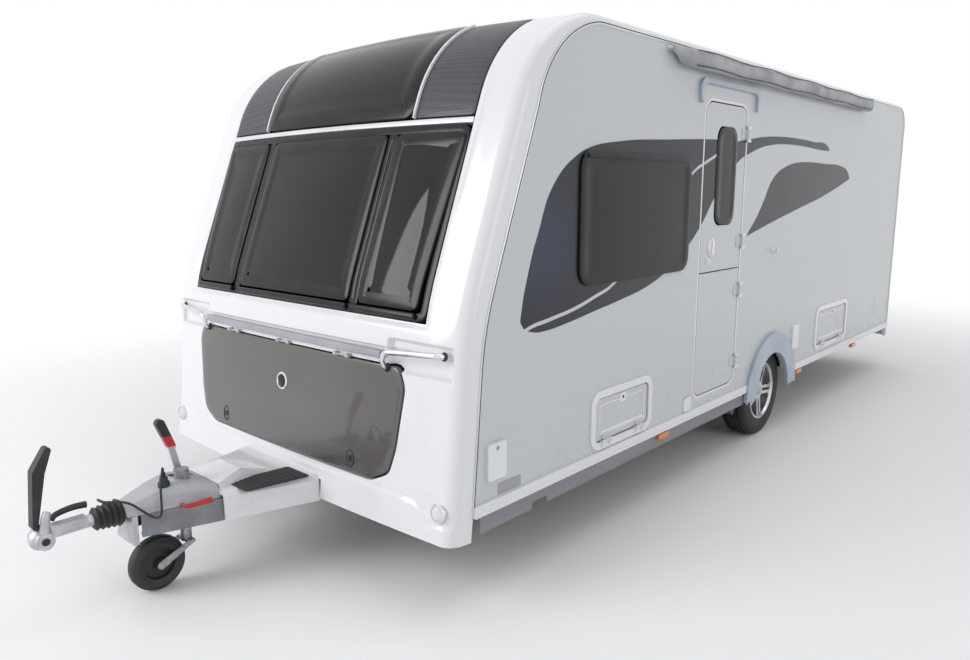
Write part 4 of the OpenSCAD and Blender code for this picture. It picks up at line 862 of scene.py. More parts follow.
def on_lid(x, z, profile, n=40, scale=(1, 1)):
    """A turned form whose axis stands square on the lid at x, z."""
    base, tip = on_front(x, z, 0.0), on_front(x, z, 0.1)
    away_from = (tip - base).normalized()
    across, upward = Vector((1, 0, 0)), away_from.cross(Vector((1, 0, 0)))
    rings = [[base + away_from * h + across * (r * scale[0] * math.cos(math.tau * k / n))
              + upward * (r * scale[1] * math.sin(math.tau * k / n)) for k in range(n)] for h, r in profile]
    return loft(rings)


piece("lid_ring_boss", *on_lid(0, 0.800, [(0.004, 0.043), (0.011, 0.043), (0.014, 0.040), (0.014, 0.033),
                                          (0.0090, 0.0315), (0.0080, 0.030)], 56),
      chrome, "locker_door", (), "anodised")
piece("lid_boss_face",
      *on_lid(0, 0.800, [(0.004, 0.0305), (0.0098, 0.0305), (0.0112, 0.027), (0.0118, 0.012)], 56),
      gloss_black, "locker_door", (), "gloss_black")
locks = [on_lid(x, 0.539, [(0.003, 0.034), (0.0075, 0.034), (0.0085, 0.032), (0.0085, 0.029), (0.0055, 0.026),
                           (0.0055, 0.012), (0.010, 0.0115), (0.0105, 0.006)], 40,
                           (0.80, 1.22)) for x in (-0.525, 0.525)]
piece("lid_locks", *joined(locks), black_plastic, "locker_door", (), "black_plastic")


def oval(across, up, n):
    """The section of an oval bar, as (side, up) pairs."""
    turns = [math.tau * k / n for k in range(n)]
    return [(across * math.cos(a), up * math.sin(a)) for a in turns]


def swept(path, section):
    """A form swept along a path. section(i) gives (side, up) pairs at each point."""
    rings, n = [], len(path)
    for i, p in enumerate(path):
        t = (path[min(i + 1, n - 1)] - path[max(i - 1, 0)]).normalized()
        side = t.cross(Vector((0, 0, 1)))
        side = side.normalized() if side.length > 0.05 else Vector((1, 0, 0))
        up = side.cross(t)
        rings.append([p + side * a + up * b for a, b in section(i)])
    return loft(rings)


BAR_Z0, BAR_Z1, BAR_HALF = 1.007, 1.047, 0.716
bar_path = [on_front(x, (BAR_Z0 + BAR_Z1) / 2, 0.020) for x in spaced(-BAR_HALF, BAR_HALF, 40)]
bar_round = round_poly([(-0.018, -0.019), (0.016, -0.014), (0.0145, 0.016), (-0.018, 0.019)], 0.009, 5)
bar_form = swept(bar_path, lambda i: bar_round)
piece("front_bar_strip", *bar_form, grey_gloss, "caravan", "front_bar", "grey_gloss")
grips, tips = [], []
for side in (-1, 1):
    line = [on_front(side * x, z, out) for x, z, out in (
        (0.735, 0.972, 0.000), (0.735, 0.985, 0.022), (0.738, 1.010, 0.036), (0.750, 1.032, 0.041),
        (0.775, 1.043, 0.041), (0.840, 1.049, 0.040), (0.930, 1.055, 0.038), (1.010, 1.060, 0.034),
        (1.034, 1.061, 0.028), (1.045, 1.061, 0.012), (1.047, 1.061, -0.006))]
    line = smooth_route([tuple(p) for p in line], 5)
    grips.append(swept(line, lambda i: oval(0.0105, 0.0125, 16)))
    tips.append(on_lid(side * 0.735, 0.975,
                       [(0.0005, 0.019), (0.006, 0.019), (0.012, 0.0155), (0.018, 0.0125)], 28))
    tips.append(on_lid(side * 1.047, 1.061, [(0.0005, 0.019), (0.004, 0.018), (0.010, 0.0135)], 28))
piece("grab_handles", *joined(grips), chrome, "caravan", (), "anodised")
piece("grab_handle_feet", *joined(tips), black_plastic, "caravan", (), "black_plastic")

# --- Marker lamps and awning rail -----------------------------------------------------------
# A round clear marker lamp in a plated ring at each side of the bumper. An extruded rail with
# a black insert covers the joint of the mouldings and the walls up, over and down the rear.
frosted = coated("frosted_acrylic", (0.62, 0.64, 0.66), (0.74, 0.76, 0.78), 0.30, 0.2, 9, 900, 0.0002)
dress(clear_white=frosted)
rings, lenses = [], []
for side in (-1, 1):
    rings.append(on_lid(side * 1.062, 0.433, [(0.000, 0.040), (0.010, 0.040), (0.015, 0.036), (0.015, 0.031),
                                              (0.011, 0.0295), (0.011, 0.01)], 48))
    lenses.append(on_lid(side * 1.062, 0.433,
                         [(0.008, 0.0285), (0.013, 0.028), (0.0165, 0.020), (0.0175, 0.008)], 48))
piece("marker_lamp_rings", *joined(rings), chrome, "caravan", (), "anodised")
piece("marker_lamp_lenses", *joined(lenses), frosted, "caravan", (), "clear_white")


def edge_line(s, back, out, side):
    """A point on the side face, back metres behind the skin at s."""
    y, z, lean = skin_at(s)
    return Vector((side * (HALF + out), behind_foot(y + back * math.cos(lean)), z - back * math.sin(lean)))


rails, inserts = [], []
for side in (-1, 1):
    for store, half, high in ((rails, 0.0095, 0.0050), (inserts, 0.0028, 0.0062)):
        rings = []
        for s in spaced(0.13, S_END - 0.13, 260):
            back = flange(s)
            rings.append([edge_line(s, back + a, h, side) for a, h in (
                (-half, -0.001), (-half, high * 0.6), (-half * 0.6, high), (half * 0.6, high),
                (half, high * 0.6), (half, -0.001))])
        store.append(loft(rings))
piece("awning_rails", *joined(rails), silver_band, "caravan", (), "anodised")
piece("awning_rail_inserts", *joined(inserts), black_rubber, "caravan", (), "black_rubber")

# --- Side and rear windows -------------------------------------------------------------------
# Blown double acrylic panes, bulged outwards, tinted brown-black with a black border, hung
# from an aluminium top rail and closed on a rubber frame.
WINDOWS = [(1, 0.820, 1.270, 1.030, 0.610), (-1, 0.820, 1.270, 1.030, 0.610),
           (-1, 2.150, 1.330, 0.700, 0.550), (-1, 4.330, 1.390, 0.560, 0.490)]
top_rails, bead = [], []


def side_place(side):
    return lambda u, v, out: Vector((side * (HALF + out), behind_foot(u), v))


for i, (side, y0, z0, w, h) in enumerate(WINDOWS):
    place = side_place(side)
    pane_line = dense(round_rect(y0 + 0.001, z0 + 0.001, y0 + w - 0.001, z0 + h - 0.001, 0.075), 0.09)
    bordered(f"side_pane_{i}", pane_line, swelled(pane_line, place, 0.006, 0.010), 0.003, 0.013, 0.042,
             "caravan", "side_windows", lift=-0.0015)
    top_rails.append(panel(dense(round_rect(y0 + 0.045, z0 + h - 0.034, y0 + w - 0.045, z0 + h - 0.010,
                                            0.008), 0.1),
                           place, 0.004, 0.0205, 0.005))
    bead.append(frame_ring(dense(round_rect(y0 + 0.010, z0 + 0.010, y0 + w - 0.010, z0 + h - 0.010, 0.070),
                                 0.09),
                           0.018, place, -0.026, 0.0028, 0.002))
piece("side_window_top_rails", *joined(top_rails), gloss_black, "caravan", (), "gloss_black")
piece("side_window_seals", *joined(bead), black_rubber, "caravan", "window_frames", "gloss_black")


def rear_place(u, v, out):
    s = S_END - (v - FOOT_Z) / math.cos(math.pi - REAR_LEAN)
    return on_skin(-u, s, out)


pane_line = dense(round_rect(-0.4475, 1.3225, 0.4475, 1.8375, 0.070), 0.09)
bordered("rear_pane", pane_line, swelled(pane_line, rear_place, 0.006), -0.012, 0.008, 0.042, "caravan",
         "rear_window")

# --- Entrance door details -------------------------------------------------------------------
# A two-part door in white sheet over foam, with a slot window and a plated pull handle in a
# round recess. A white moulded stay on the wall behind it catches a stud on the upper leaf.
coat("door_frame", gel_white)
near_place = side_place(1)
slot_line = dense(round_rect(2.157, 1.502, 2.418, 2.058, 0.085), 0.05)
bordered("door_pane", slot_line, swelled(slot_line, near_place, 0.003), -0.010, 0.0045, 0.030, "door_upper",
         "door_window", lift=0.001)
plate = round_poly([(2.168, 1.322, 0.012), (2.168, 1.432, 0.012), (2.118, 1.428, 0.034),
                    (2.092, 1.377, 0.040),
                    (2.118, 1.326, 0.034)], 0.02, 8)
piece("door_handle_plate", *panel(dense(plate, 0.02), near_place, -0.001, 0.0065, 0.003,
                                  ((0.0, 0.0), (0.007, 0.0), (0.010, -0.003)), 0.02), anodised, "door_upper",
                                  (), "anodised")
pull = round_poly([(2.158, 1.336, 0.010), (2.158, 1.418, 0.010), (2.142, 1.418, 0.008),
                   (2.142, 1.336, 0.008)], 0.008, 4)
piece("door_handle_pull", *panel(dense(pull, 0.02), near_place, 0.001, 0.0165, 0.005, grid=0.02), chrome,
      "door_upper", (), "anodised")
for y, body in ((3.058, "caravan"), (2.098, "door_upper")):
    parts = [turned((HALF, behind_foot(y), 1.307),
                    [(0.0003, 0.020), (0.005, 0.020), (0.008, 0.012), (0.030, 0.011),
                                                   (0.034, 0.014), (0.040, 0.014), (0.042, 0.011)], "X", 32),
             panel(dense(round_rect(y - 0.006, 1.292, y + 0.050, 1.320, 0.010), 0.02), near_place, 0.010,
                   0.030, 0.005)]
    if body == "door_upper":
        parts = [turned((HALF, behind_foot(y), 1.303),
                        [(0.0003, 0.018), (0.005, 0.018), (0.008, 0.012), (0.016, 0.011)], "X", 32)]
    piece(f"door_stay_{body}", *joined(parts), gel_white, body, (), "white_moulding")

# --- Hatches, flaps and vents ----------------------------------------------------------------
# White moulded service hatches with a raised inner ridge and a square lock tab, a socket flap
# with a small round lock, a louvred square vent, amber marker lamps and red rear lamps.
cover_grey = coated("cover_grey", (0.40, 0.415, 0.44), (0.50, 0.51, 0.53), 0.34, 0.2, 5, 500, 0.0003)
red_lens = coated("red_lens", (0.30, 0.008, 0.008), (0.46, 0.016, 0.014), 0.10, 0.1, 30, 260, 0.0006,
                  Coat_Weight=0.6)
amber_lens = coated("amber_lens", (0.62, 0.17, 0.012), (0.80, 0.26, 0.03), 0.14, 0.1, 40, 300, 0.0006,
                    Coat_Weight=0.5)
dress(lamp_red=red_lens)
for name, (y0, z0, w, h), body in (("service", (0.993, 0.495, 0.483, 0.210), "service_door"),
                                   ("rear", (4.040, 0.515, 0.660, 0.255), "rear_hatch")):
    ridge = frame_ring(dense(round_rect(y0 + 0.030, z0 + 0.028, y0 + w - 0.030, z0 + h - 0.028, 0.02), 0.1),
                       0.007, near_place, -0.001, 0.0035, 0.0016)
    tab = panel(dense(round_rect(y0 + w / 2 - 0.026, z0 + h - 0.052, y0 + w / 2 + 0.026, z0 + h - 0.004,
                                 0.008), 0.03),
                near_place, -0.001, 0.0042, 0.0018)
    fold = panel(dense(round_rect(y0 + 0.045, z0 + 0.034, y0 + w - 0.045, z0 + 0.048, 0.005), 0.1),
                 near_place, -0.001, 0.0050, 0.0024)
    piece(f"{name}_hatch_ridge", *joined([ridge, tab, fold]), gel_white, body, (), "white_moulding")
    piece(f"{name}_hatch_lock", *turned((HALF, behind_foot(y0 + w / 2), z0 + h - 0.026), [
        (0.003, 0.0075), (0.0060, 0.0075), (0.0068, 0.006), (0.0068, 0.003)], "X", 24), black_plastic, body,
        (),
        "black_plastic")
piece("socket_flap_lock",
      *turned((HALF, behind_foot(0.258), 0.664), [(0.010, 0.010), (0.0165, 0.010), (0.0175, 0.008)],
                                  "X", 24), grey_gloss, "caravan", (), "grey_gloss")
slats = [frame_ring(dense(round_rect(1.887, 0.447, 1.971, 0.532, 0.006), 0.03), 0.008, near_place, -0.001,
                    0.004, 0.0015)]
slats += [panel(dense(round_rect(1.897, z, 1.961, z + 0.005, 0.002), 0.03), near_place, -0.001, 0.003, 0.0015)
          for z in spaced(0.460, 0.514, 6)]
piece("square_vent", *joined(slats), cover_grey, "caravan", (), "grey_gloss")
plates = [panel(dense(round_rect(0.275, 0.452, 0.425, 0.500, 0.006), 0.03), near_place, -0.001, 0.0025,
                0.001)]
piece("blank_plate", *joined(plates), grey_gloss, "caravan", (), "grey_gloss")
markers = []
for side in (-1, 1):
    for y in (1.597, 3.620, 4.920):
        line = dense(round_rect(y, 0.358, y + 0.105, 0.388, 0.006), 0.03)
        markers.append(panel(line, side_place(side), -0.006, 0.0195, 0.005))
piece("side_marker_lamps", *joined(markers), amber_lens, "caravan", (), "lamp_red")

# --- Lower side trim and wheel arches -----------------------------------------------------------
# Extruded white rail with two ribs over a grey skirt, and pale moulded arch trims with a
# raised double rim round each wheel.
skirt_grey = coated("skirt_grey", (0.200, 0.208, 0.225), (0.262, 0.270, 0.290), 0.42, 0.2, 3, 700,
                    0.0003, 0.2, (1, 0.3, 3))
pale_trim = coated("pale_trim", (0.36, 0.42, 0.49), (0.46, 0.52, 0.58), 0.30, 0.15, 5, Coat_Weight=0.2)
dress(grey_trim=skirt_grey, pale_grey_trim=pale_trim)
ribs = []
for side in (-1, 1):
    for y0, y1 in ((0.125, 2.720), (3.598, 6.010)):
        for z in (0.398, 0.420):
            line = [Vector((side * (HALF + 0.013), behind_foot(y), z)) for y in spaced(y0, y1, 20)]
            ribs.append(swept(line, lambda i: oval(0.0035, 0.0045, 8)))
piece("rail_ribs", *joined(ribs), gel_white, "caravan", (), "white_moulding")
arches = []
AXLE_Y, WHEEL_Z = 3.159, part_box("tyre_near")[1].z / 2
ARCH_FACE, ARCH_FOOT_Z = HALF + 0.0202, 0.335
for side in (-1, 1):
    for radius, size in ((0.417, 0.007), (0.350, 0.006), (0.291, 0.007)):
        line = [Vector((side * ARCH_FACE, behind_foot(AXLE_Y - radius), ARCH_FOOT_Z))]
        line += [Vector((side * ARCH_FACE, behind_foot(AXLE_Y - radius * math.cos(a)),
                         WHEEL_Z + radius * math.sin(a))) for a in spaced(0, math.pi, 48)]
        line += [Vector((side * ARCH_FACE, behind_foot(AXLE_Y + radius), ARCH_FOOT_Z))]
        rings = []
        for i, p in enumerate(line):
            t = (line[min(i + 1, len(line) - 1)] - line[max(i - 1, 0)]).normalized()
            out = Vector((side, 0, 0))
            flat = t.cross(out)
            rings.append([p + flat * a + out * b for a, b in oval(size * 1.4, size * 0.5, 8)])
        arches.append(loft(rings))
piece("arch_rims", *joined(arches), pale_trim, "caravan", (), "pale_grey_trim")

# --- Wheels ---------------------------------------------------------------------------------
# Radial tyres with a blocked tread and ribbed walls, seated on cast five-spoke alloy rims.
# Each rim has a centre cap and five nuts.
tyre_black = Finish("tyre_rubber")
scuff = tyre_black.noise(14, 5).ease(0.4, 0.75)
tyre_black.shade(Base_Color=tyre_black.blend(scuff, (0.010, 0.010, 0.011), (0.040, 0.038, 0.036)),
                 Roughness=scuff * 0.3 + 0.55,
                 Normal=tyre_black.relief(tyre_black.noise(400, 3), 0.0006, 0.6))
alloy = coated("alloy", (0.55, 0.56, 0.58), (0.70, 0.71, 0.73), 0.16, 0.16, 18, 500, 0.0002, 0.9,
               Coat_Weight=0.4)
cast_silver = coated("cast_silver", (0.42, 0.43, 0.45), (0.60, 0.61, 0.63), 0.32, 0.25, 22, 260, 0.0008, 0.65)
dress(tyre=tyre_black, alloy=alloy, cast_silver=cast_silver)
RIM_R, TREAD_STEPS, NUT_CIRCLE = 0.190, 144, 0.052
for side, body in ((1, "wheel_near"), (-1, "wheel_off")):
    low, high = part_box("tyre_near" if side > 0 else "tyre_off")
    middle, r, half = (low + high) / 2, (high.z - low.z) / 2, (high.x - low.x) / 2
    rim = RIM_R
    profile = [(-half + 0.016, rim + 0.001), (-half + 0.004, rim + 0.010), (-half + 0.0008, rim + 0.022),
               (-half, rim + 0.040), (-half + 0.0006, rim + 0.056), (-half + 0.003, r - 0.036),
               (-half + 0.010, r - 0.016),
               (-half + 0.020, r - 0.006), (-half + 0.030, r - 0.0015)]
    tread = [(-half + 0.034, r - 0.0003), (-0.045, r), (-0.044, r - 0.007), (-0.038, r - 0.007), (-0.037, r),
             (-0.014, r), (-0.013, r - 0.007), (-0.007, r - 0.007), (-0.006, r)]
    profile = profile + tread + [(-a, b) for a, b in reversed(profile + tread)]
    rings = []
    for k in range(TREAD_STEPS):
        a = math.tau * k / TREAD_STEPS
        ring = []
        for along, rr in profile:
            block = rr > r - 0.02 and abs(along) > 0.046 and k % 4 == 0
            rib = 0.0012 if (k % 2 and rim + 0.03 < rr < rim + 0.06) else 0
            rr2 = rr - (0.006 if block else 0)
            ring.append(Vector((middle.x + along * (1 - rib), middle.y + rr2 * math.cos(a),
                                middle.z + rr2 * math.sin(a))))
        rings.append(ring)
    piece(f"tyre_{body}", *loft(rings, wrap=True), tyre_black, body, "tyre_near" if side > 0 else "tyre_off",
          "tyre", 30)
    piece(f"cap_{body}", *turned(middle, [(side * 0.048, 0.030), (side * 0.066, 0.030), (side * 0.070, 0.027),
                                          (side * 0.070, 0.008)], "X", 40), cast_silver, body, (), "alloy")
    nuts = [turned(middle + Vector((0, NUT_CIRCLE * math.cos(math.tau * k / 5),
                                    NUT_CIRCLE * math.sin(math.tau * k / 5))),
                   [(side * 0.045, 0.009), (side * 0.060, 0.009), (side * 0.063, 0.006)], "X",
                   6) for k in range(5)]
    piece(f"nuts_{body}", *joined(nuts), chrome, body, (), "alloy")

# --- Awning bag -----------------------------------------------------------------------------
# A padded bag of coated grey cloth, rolled round the furled awning and hung from the wall's
# top rail. It sags a little between its fixings and tapers at its front end.
cloth_grey = Finish("awning_cloth")
weave_a = cloth_grey.add("ShaderNodeTexWave", {"bands_direction": "Y"}, {
    "Vector": cloth_grey.place, "Scale": 180.0, "Distortion": 0.6}, 1)
weave_b = cloth_grey.add("ShaderNodeTexWave", {"bands_direction": "Z"}, {
    "Vector": cloth_grey.place, "Scale": 180.0, "Distortion": 0.6}, 1)
weather = cloth_grey.noise(5, 5).ease(0.35, 0.7)
cloth_grey.shade(
    Base_Color=cloth_grey.blend(weather, (0.50, 0.51, 0.525), (0.34, 0.35, 0.36)),
    Roughness=weather * 0.1 + 0.74,
    Sheen_Weight=0.25, Sheen_Roughness=0.4,
    Normal=cloth_grey.relief(weave_a * weave_b + cloth_grey.noise(26, 4) * 3.0, 0.002, 0.5))
dress(awning_cloth=cloth_grey)
bag_low, bag_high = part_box("awning_bag")
BAG_STEPS, BAG_COLUMNS, BAG_CAP, BAG_MARGIN = 210, 36, 0.007, 0.009


def settle(target, cap, strength=4.0, frames=20):
    """Inflates a closed cloth form a little, with no point moving more than cap."""
    rest = [v.co.copy() for v in target.data.vertices]
    step = target.modifiers.new("cloth", "CLOTH")
    step.settings.use_pressure = True
    step.settings.uniform_pressure_force = strength
    step.settings.quality = 5
    step.settings.effector_weights.gravity = 0
    step.point_cache.frame_start, step.point_cache.frame_end = 1, frames
    scene = bpy.context.scene
    for number in range(1, frames + 1):
        scene.frame_set(number)
    view = bpy.context.evaluated_depsgraph_get()
    shaped = bpy.data.meshes.new_from_object(target.evaluated_get(view))
    target.modifiers.clear()
    for v, old in zip(shaped.vertices, rest):
        move = v.co - old
        if move.length > cap:
            v.co = old + move.normalized() * cap
    old_mesh, target.data = target.data, shaped
    bpy.data.meshes.remove(old_mesh)
    scene.frame_set(1)


bag_mid, bag_half = (bag_low + bag_high) / 2, (bag_high - bag_low) / 2
bag_rings = []
stations = spaced(bag_low.y + 0.006, bag_high.y - 0.006, BAG_STEPS)
for y in stations:
    t = (y - bag_low.y) / (bag_high.y - bag_low.y)
    taper = min(1.0, 0.30 + 0.70 * eased((y - bag_low.y) / 0.16),
                0.55 + 0.45 * eased((bag_high.y - y) / 0.05))
    sag = 0.5 + 0.5 * math.cos(math.tau * t * 9)
    ring = []
    for k in range(BAG_COLUMNS):
        a = math.tau * k / BAG_COLUMNS
        wrinkle = noise.noise(Vector((y * 5.5, math.cos(a) * 1.4, math.sin(a) * 1.4))) * 0.0045
        wrinkle += noise.noise(Vector((y * 17, math.cos(a) * 3, math.sin(a) * 3))) * 0.0018
        rx, rz = bag_half.x - BAG_MARGIN, bag_half.z - BAG_MARGIN
        cx, cz = (math.copysign(abs(f(a)) ** 0.62, f(a)) for f in (math.cos, math.sin))
        x = bag_mid.x + (rx * taper + wrinkle) * cx
        drop = 0.005 * sag * max(0.0, -math.sin(a))
        z = bag_mid.z + (rz * taper + wrinkle) * cz + (1 - taper) * rz * 0.85 - drop + 0.004
        ring.append(Vector((x, y, z)))
    bag_rings.append(ring)
awning_bag = piece("awning_bag_cloth", *loft(bag_rings), cloth_grey, "caravan", "awning_bag", "awning_cloth",
                   60)
settle(awning_bag, BAG_CAP)
awning_bag.data.shade_smooth()
soft_step = awning_bag.modifiers.new("soft", "SUBSURF")
soft_step.levels = soft_step.render_levels = 1
seam = []
for z_at, shift in ((-0.034, 0.004), (0.040, 0.0)):
    line = [Vector((bag_mid.x + bag_half.x * 0.80 - shift, y, bag_mid.z + z_at + 0.004 * math.sin(y * 9)))
            for y in spaced(bag_low.y + 0.20, bag_high.y - 0.06, 120)]
    seam.append(swept(line, lambda i: oval(0.0028, 0.0028, 6)))
piece("awning_bag_piping", *joined(seam), black_plastic, "caravan", (), "awning_cloth")
rail_line = [Vector((HALF + 0.006, y, bag_high.z - 0.020)) for y in spaced(bag_low.y, bag_high.y, 30)]
piece("awning_bag_rail",
      *swept(rail_line, lambda i: [(-0.006, -0.010), (0.006, -0.008), (0.006, 0.010), (-0.006, 0.010)]),
      silver_band, "caravan", (), "anodised")

# --- Seats and bed -----------------------------------------------------------------------------
# Foam cushions in plain woven cloth: two bench seats with back pads by the front windows,
# and one mattress at the rear. Each lies loose on its board, over a boarded floor.
board = Finish("furniture_board")
grain = board.noise(9, 6, 0.6, (14, 1, 1))
board.shade(Base_Color=board.blend(grain.ease(0.3, 0.7), (0.22, 0.13, 0.07), (0.40, 0.27, 0.17)),
            Roughness=grain * 0.2 + 0.32, Normal=board.relief(grain, 0.0004, 0.4), Coat_Weight=0.15)
floor_board = Finish("floor_board")
plank = floor_board.noise(6, 6, 0.6, (12, 1, 1))
floor_board.shade(Base_Color=floor_board.blend(plank, (0.12, 0.085, 0.06), (0.26, 0.20, 0.15)),
                  Roughness=plank * 0.2 + 0.4, Normal=floor_board.relief(plank, 0.0005, 0.4))
seat_cloth = Finish("seat_cloth")
thread_a = seat_cloth.add("ShaderNodeTexWave", {"bands_direction": "X"}, {
    "Vector": seat_cloth.place, "Scale": 150.0, "Distortion": 0.8}, 1)
thread_b = seat_cloth.add("ShaderNodeTexWave", {"bands_direction": "Y"}, {
    "Vector": seat_cloth.place, "Scale": 150.0, "Distortion": 0.8}, 1)
seat_cloth.shade(
    Base_Color=seat_cloth.blend(thread_a * thread_b, (0.16, 0.12, 0.10), (0.30, 0.24, 0.20)),
    Roughness=seat_cloth.noise(12) * 0.2 + 0.7, Sheen_Weight=0.3, Sheen_Roughness=0.5,
    Normal=seat_cloth.relief(thread_a + thread_b, 0.0008, 0.5))
dress(furniture_board=board, floor_board=floor_board, upholstery=seat_cloth)
PAD_SHRINK, PAD_VOXEL, PAD_CAP = 0.010, 0.022, 0.006
pad_table = []
seat_mesh = bpy.data.objects["seat_cushions"].data
seat_form = bmesh.new()
seat_form.from_mesh(seat_mesh)
bmesh.ops.remove_doubles(seat_form, verts=seat_form.verts, dist=1e-5)
left = set(seat_form.verts)
while left:
    start = min(left, key=lambda v: tuple(round(c, 4) for c in v.co))
    group, edge = {start}, [start]
    while edge:
        for link in edge.pop().link_edges:
            for v in link.verts:
                if v not in group:
                    group.add(v)
                    edge.append(v)
    left -= group
    pad_table.append((Vector([min(v.co[k] for v in group) for k in range(3)]),
                      Vector([max(v.co[k] for v in group) for k in range(3)])))
seat_form.free()
pad_table.sort(key=lambda p: tuple(round(c, 3) for c in p[0]))
for number, (low, high) in enumerate(pad_table):
    a, b = low + Vector((PAD_SHRINK,) * 3), high - Vector((PAD_SHRINK,) * 3)
    form = bmesh.new()
    bmesh.ops.create_cube(form, size=1.0)
    for v in form.verts:
        v.co = Vector([(a[k] + b[k]) / 2 + v.co[k] * (b[k] - a[k]) for k in range(3)])
    bmesh.ops.bevel(form, geom=form.edges[:] + form.verts[:], offset=0.022, segments=3, profile=0.6,
                    affect="EDGES")
    mesh = bpy.data.meshes.new(f"pad_{number}")
    form.to_mesh(mesh)
    form.free()
    pad = bpy.data.objects.new(f"seat_pad_{number}", mesh)
    bpy.context.scene.collection.objects.link(pad)
    grid = pad.modifiers.new("grid", "REMESH")
    grid.mode, grid.voxel_size = "VOXEL", PAD_VOXEL
    view = bpy.context.evaluated_depsgraph_get()
    pad.data = bpy.data.meshes.new_from_object(pad.evaluated_get(view))
    pad.modifiers.clear()
    for v in pad.data.vertices:
        for k in range(3):
            span = (b - a)[k]
            others = [(v.co[j] - a[j]) / (b - a)[j] * 2 - 1 for j in range(3) if j != k]
            pull = max(0.0, 1 - others[0] ** 4) * max(0.0, 1 - others[1] ** 4)
            side = (v.co[k] - (a[k] + b[k]) / 2) / (span / 2)
            if span == min(b - a):
                v.co[k] += side * 0.006 * pull
            else:
                v.co[k] -= side * 0.004 * pull
    pad.data.materials.append(seat_cloth.material)
    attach(pad, "caravan")
    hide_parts("seat_cushions")
    settle(pad, PAD_CAP)
    pad.data.shade_smooth()

# --- Chassis and wheel movers -------------------------------------------------------------------
# Galvanised rails, arms, axle and corner steadies, dipped after welding, with grime in their
# corners. The motor movers are grey painted castings bolted to the rails.
galvanised = Finish("galvanised")
flakes = galvanised.add("ShaderNodeTexVoronoi", {}, {"Vector": galvanised.place, "Scale": 90.0}, "Color")
flake = galvanised.add("ShaderNodeSeparateColor", {}, {0: flakes})
grime = galvanised.noise(9, 5).ease(0.45, 0.7)
galvanised.shade(
    Base_Color=galvanised.blend(grime * 0.6, galvanised.blend(flake, (0.30, 0.31, 0.33), (0.46, 0.47, 0.49)),
                                (0.13, 0.12, 0.11)),
    Metallic=grime * -0.5 + 0.75, Roughness=flake * 0.2 + grime * 0.25 + 0.32,
    Normal=galvanised.relief(galvanised.noise(220, 3), 0.0004, 0.5))
mover_grey = coated("mover_grey", (0.07, 0.07, 0.075), (0.16, 0.16, 0.165), 0.4, 0.3, 20, 500, 0.0004, 0.3)
dress(galvanised=galvanised, mover_grey=mover_grey)

# --- Small pieces of the drawbar -------------------------------------------------------------
# A black ribbed tread pad on the step cover, a red clamp handle for the jockey tube, a rubber
# grip, a cast release lever and black caps on the hitch head. The arms are painted steel.
red_plastic = coated("red_plastic", (0.40, 0.012, 0.014), (0.56, 0.03, 0.03), 0.35, 0.2, 30)
brake_lever = Finish("brake_lever")
PAINTED_Z, GRIP_Z = (0.603, 0.607), (0.652, 0.656)
up = brake_lever.axis("Z")
lever_paint = brake_lever.blend(up.ease(*PAINTED_Z), (0.44, 0.45, 0.47), (0.50, 0.020, 0.022))
lever_grain = brake_lever.noise(60, 4)
brake_lever.shade(Base_Color=brake_lever.blend(up.ease(*GRIP_Z), lever_paint, (0.012, 0.012, 0.013)),
                  Metallic=(1.0 - up.ease(*PAINTED_Z)) * 0.7, Roughness=lever_grain * 0.2 + 0.32,
                  Normal=brake_lever.relief(lever_grain, 0.0005, 0.4))
arm_grey = coated("arm_grey", (0.180, 0.190, 0.205), (0.270, 0.280, 0.295), 0.40, 0.25, 12, 400, 0.0004, 0.35)
coat("drawbar_arms", arm_grey)
coat("handbrake_lever", brake_lever)
coat("nose_cover", cover_grey)
tread = [(0.098, behind_foot(-0.375)), (0.262, behind_foot(-0.375)), (0.300, behind_foot(-0.070)),
         (0.120, behind_foot(-0.070))]
STEP_FRONT_Z, STEP_BACK_Z = 0.424, 0.416


def on_step(u, v, out):
    t = (v - behind_foot(-0.440)) / 0.404
    return Vector((u, v, STEP_FRONT_Z + (STEP_BACK_Z - STEP_FRONT_Z) * t + out))


pad_line = dense(round_poly(tread, 0.020, 5), 0.03)
pads = [panel(pad_line, on_step, -0.001, 0.0030, 0.0012, grid=0.05)]
for k in range(11):
    y = behind_foot(-0.352 + 0.026 * k)
    reach = (y - behind_foot(-0.375)) / 0.305
    pads.append(panel(dense(round_rect(0.116 + 0.022 * reach, y, 0.252 + 0.030 * reach, y + 0.008, 0.003),
                            0.03),
                      on_step, 0.002, 0.0052, 0.0016, grid=0.05))
piece("step_tread_pad", *joined(pads), black_rubber, "caravan", (), "black_rubber")


def tube(name, knots, radius, finish, slot, steps=6):
    """A round bar through knots, whose radius follows (start, end)."""
    line = [Vector((x, behind_foot(y), z)) for x, y, z in smooth_route(knots, steps)]
    line.append(Vector((knots[-1][0], behind_foot(knots[-1][1]), knots[-1][2])))
    last = len(line) - 1

    def section(i):
        r = radius[0] + (radius[1] - radius[0]) * i / last
        r = r * (0.72 if i in (0, last) else 1.0)
        return oval(r, r, 16)
    return piece(name, *swept(line, section), finish, "caravan", (), slot)


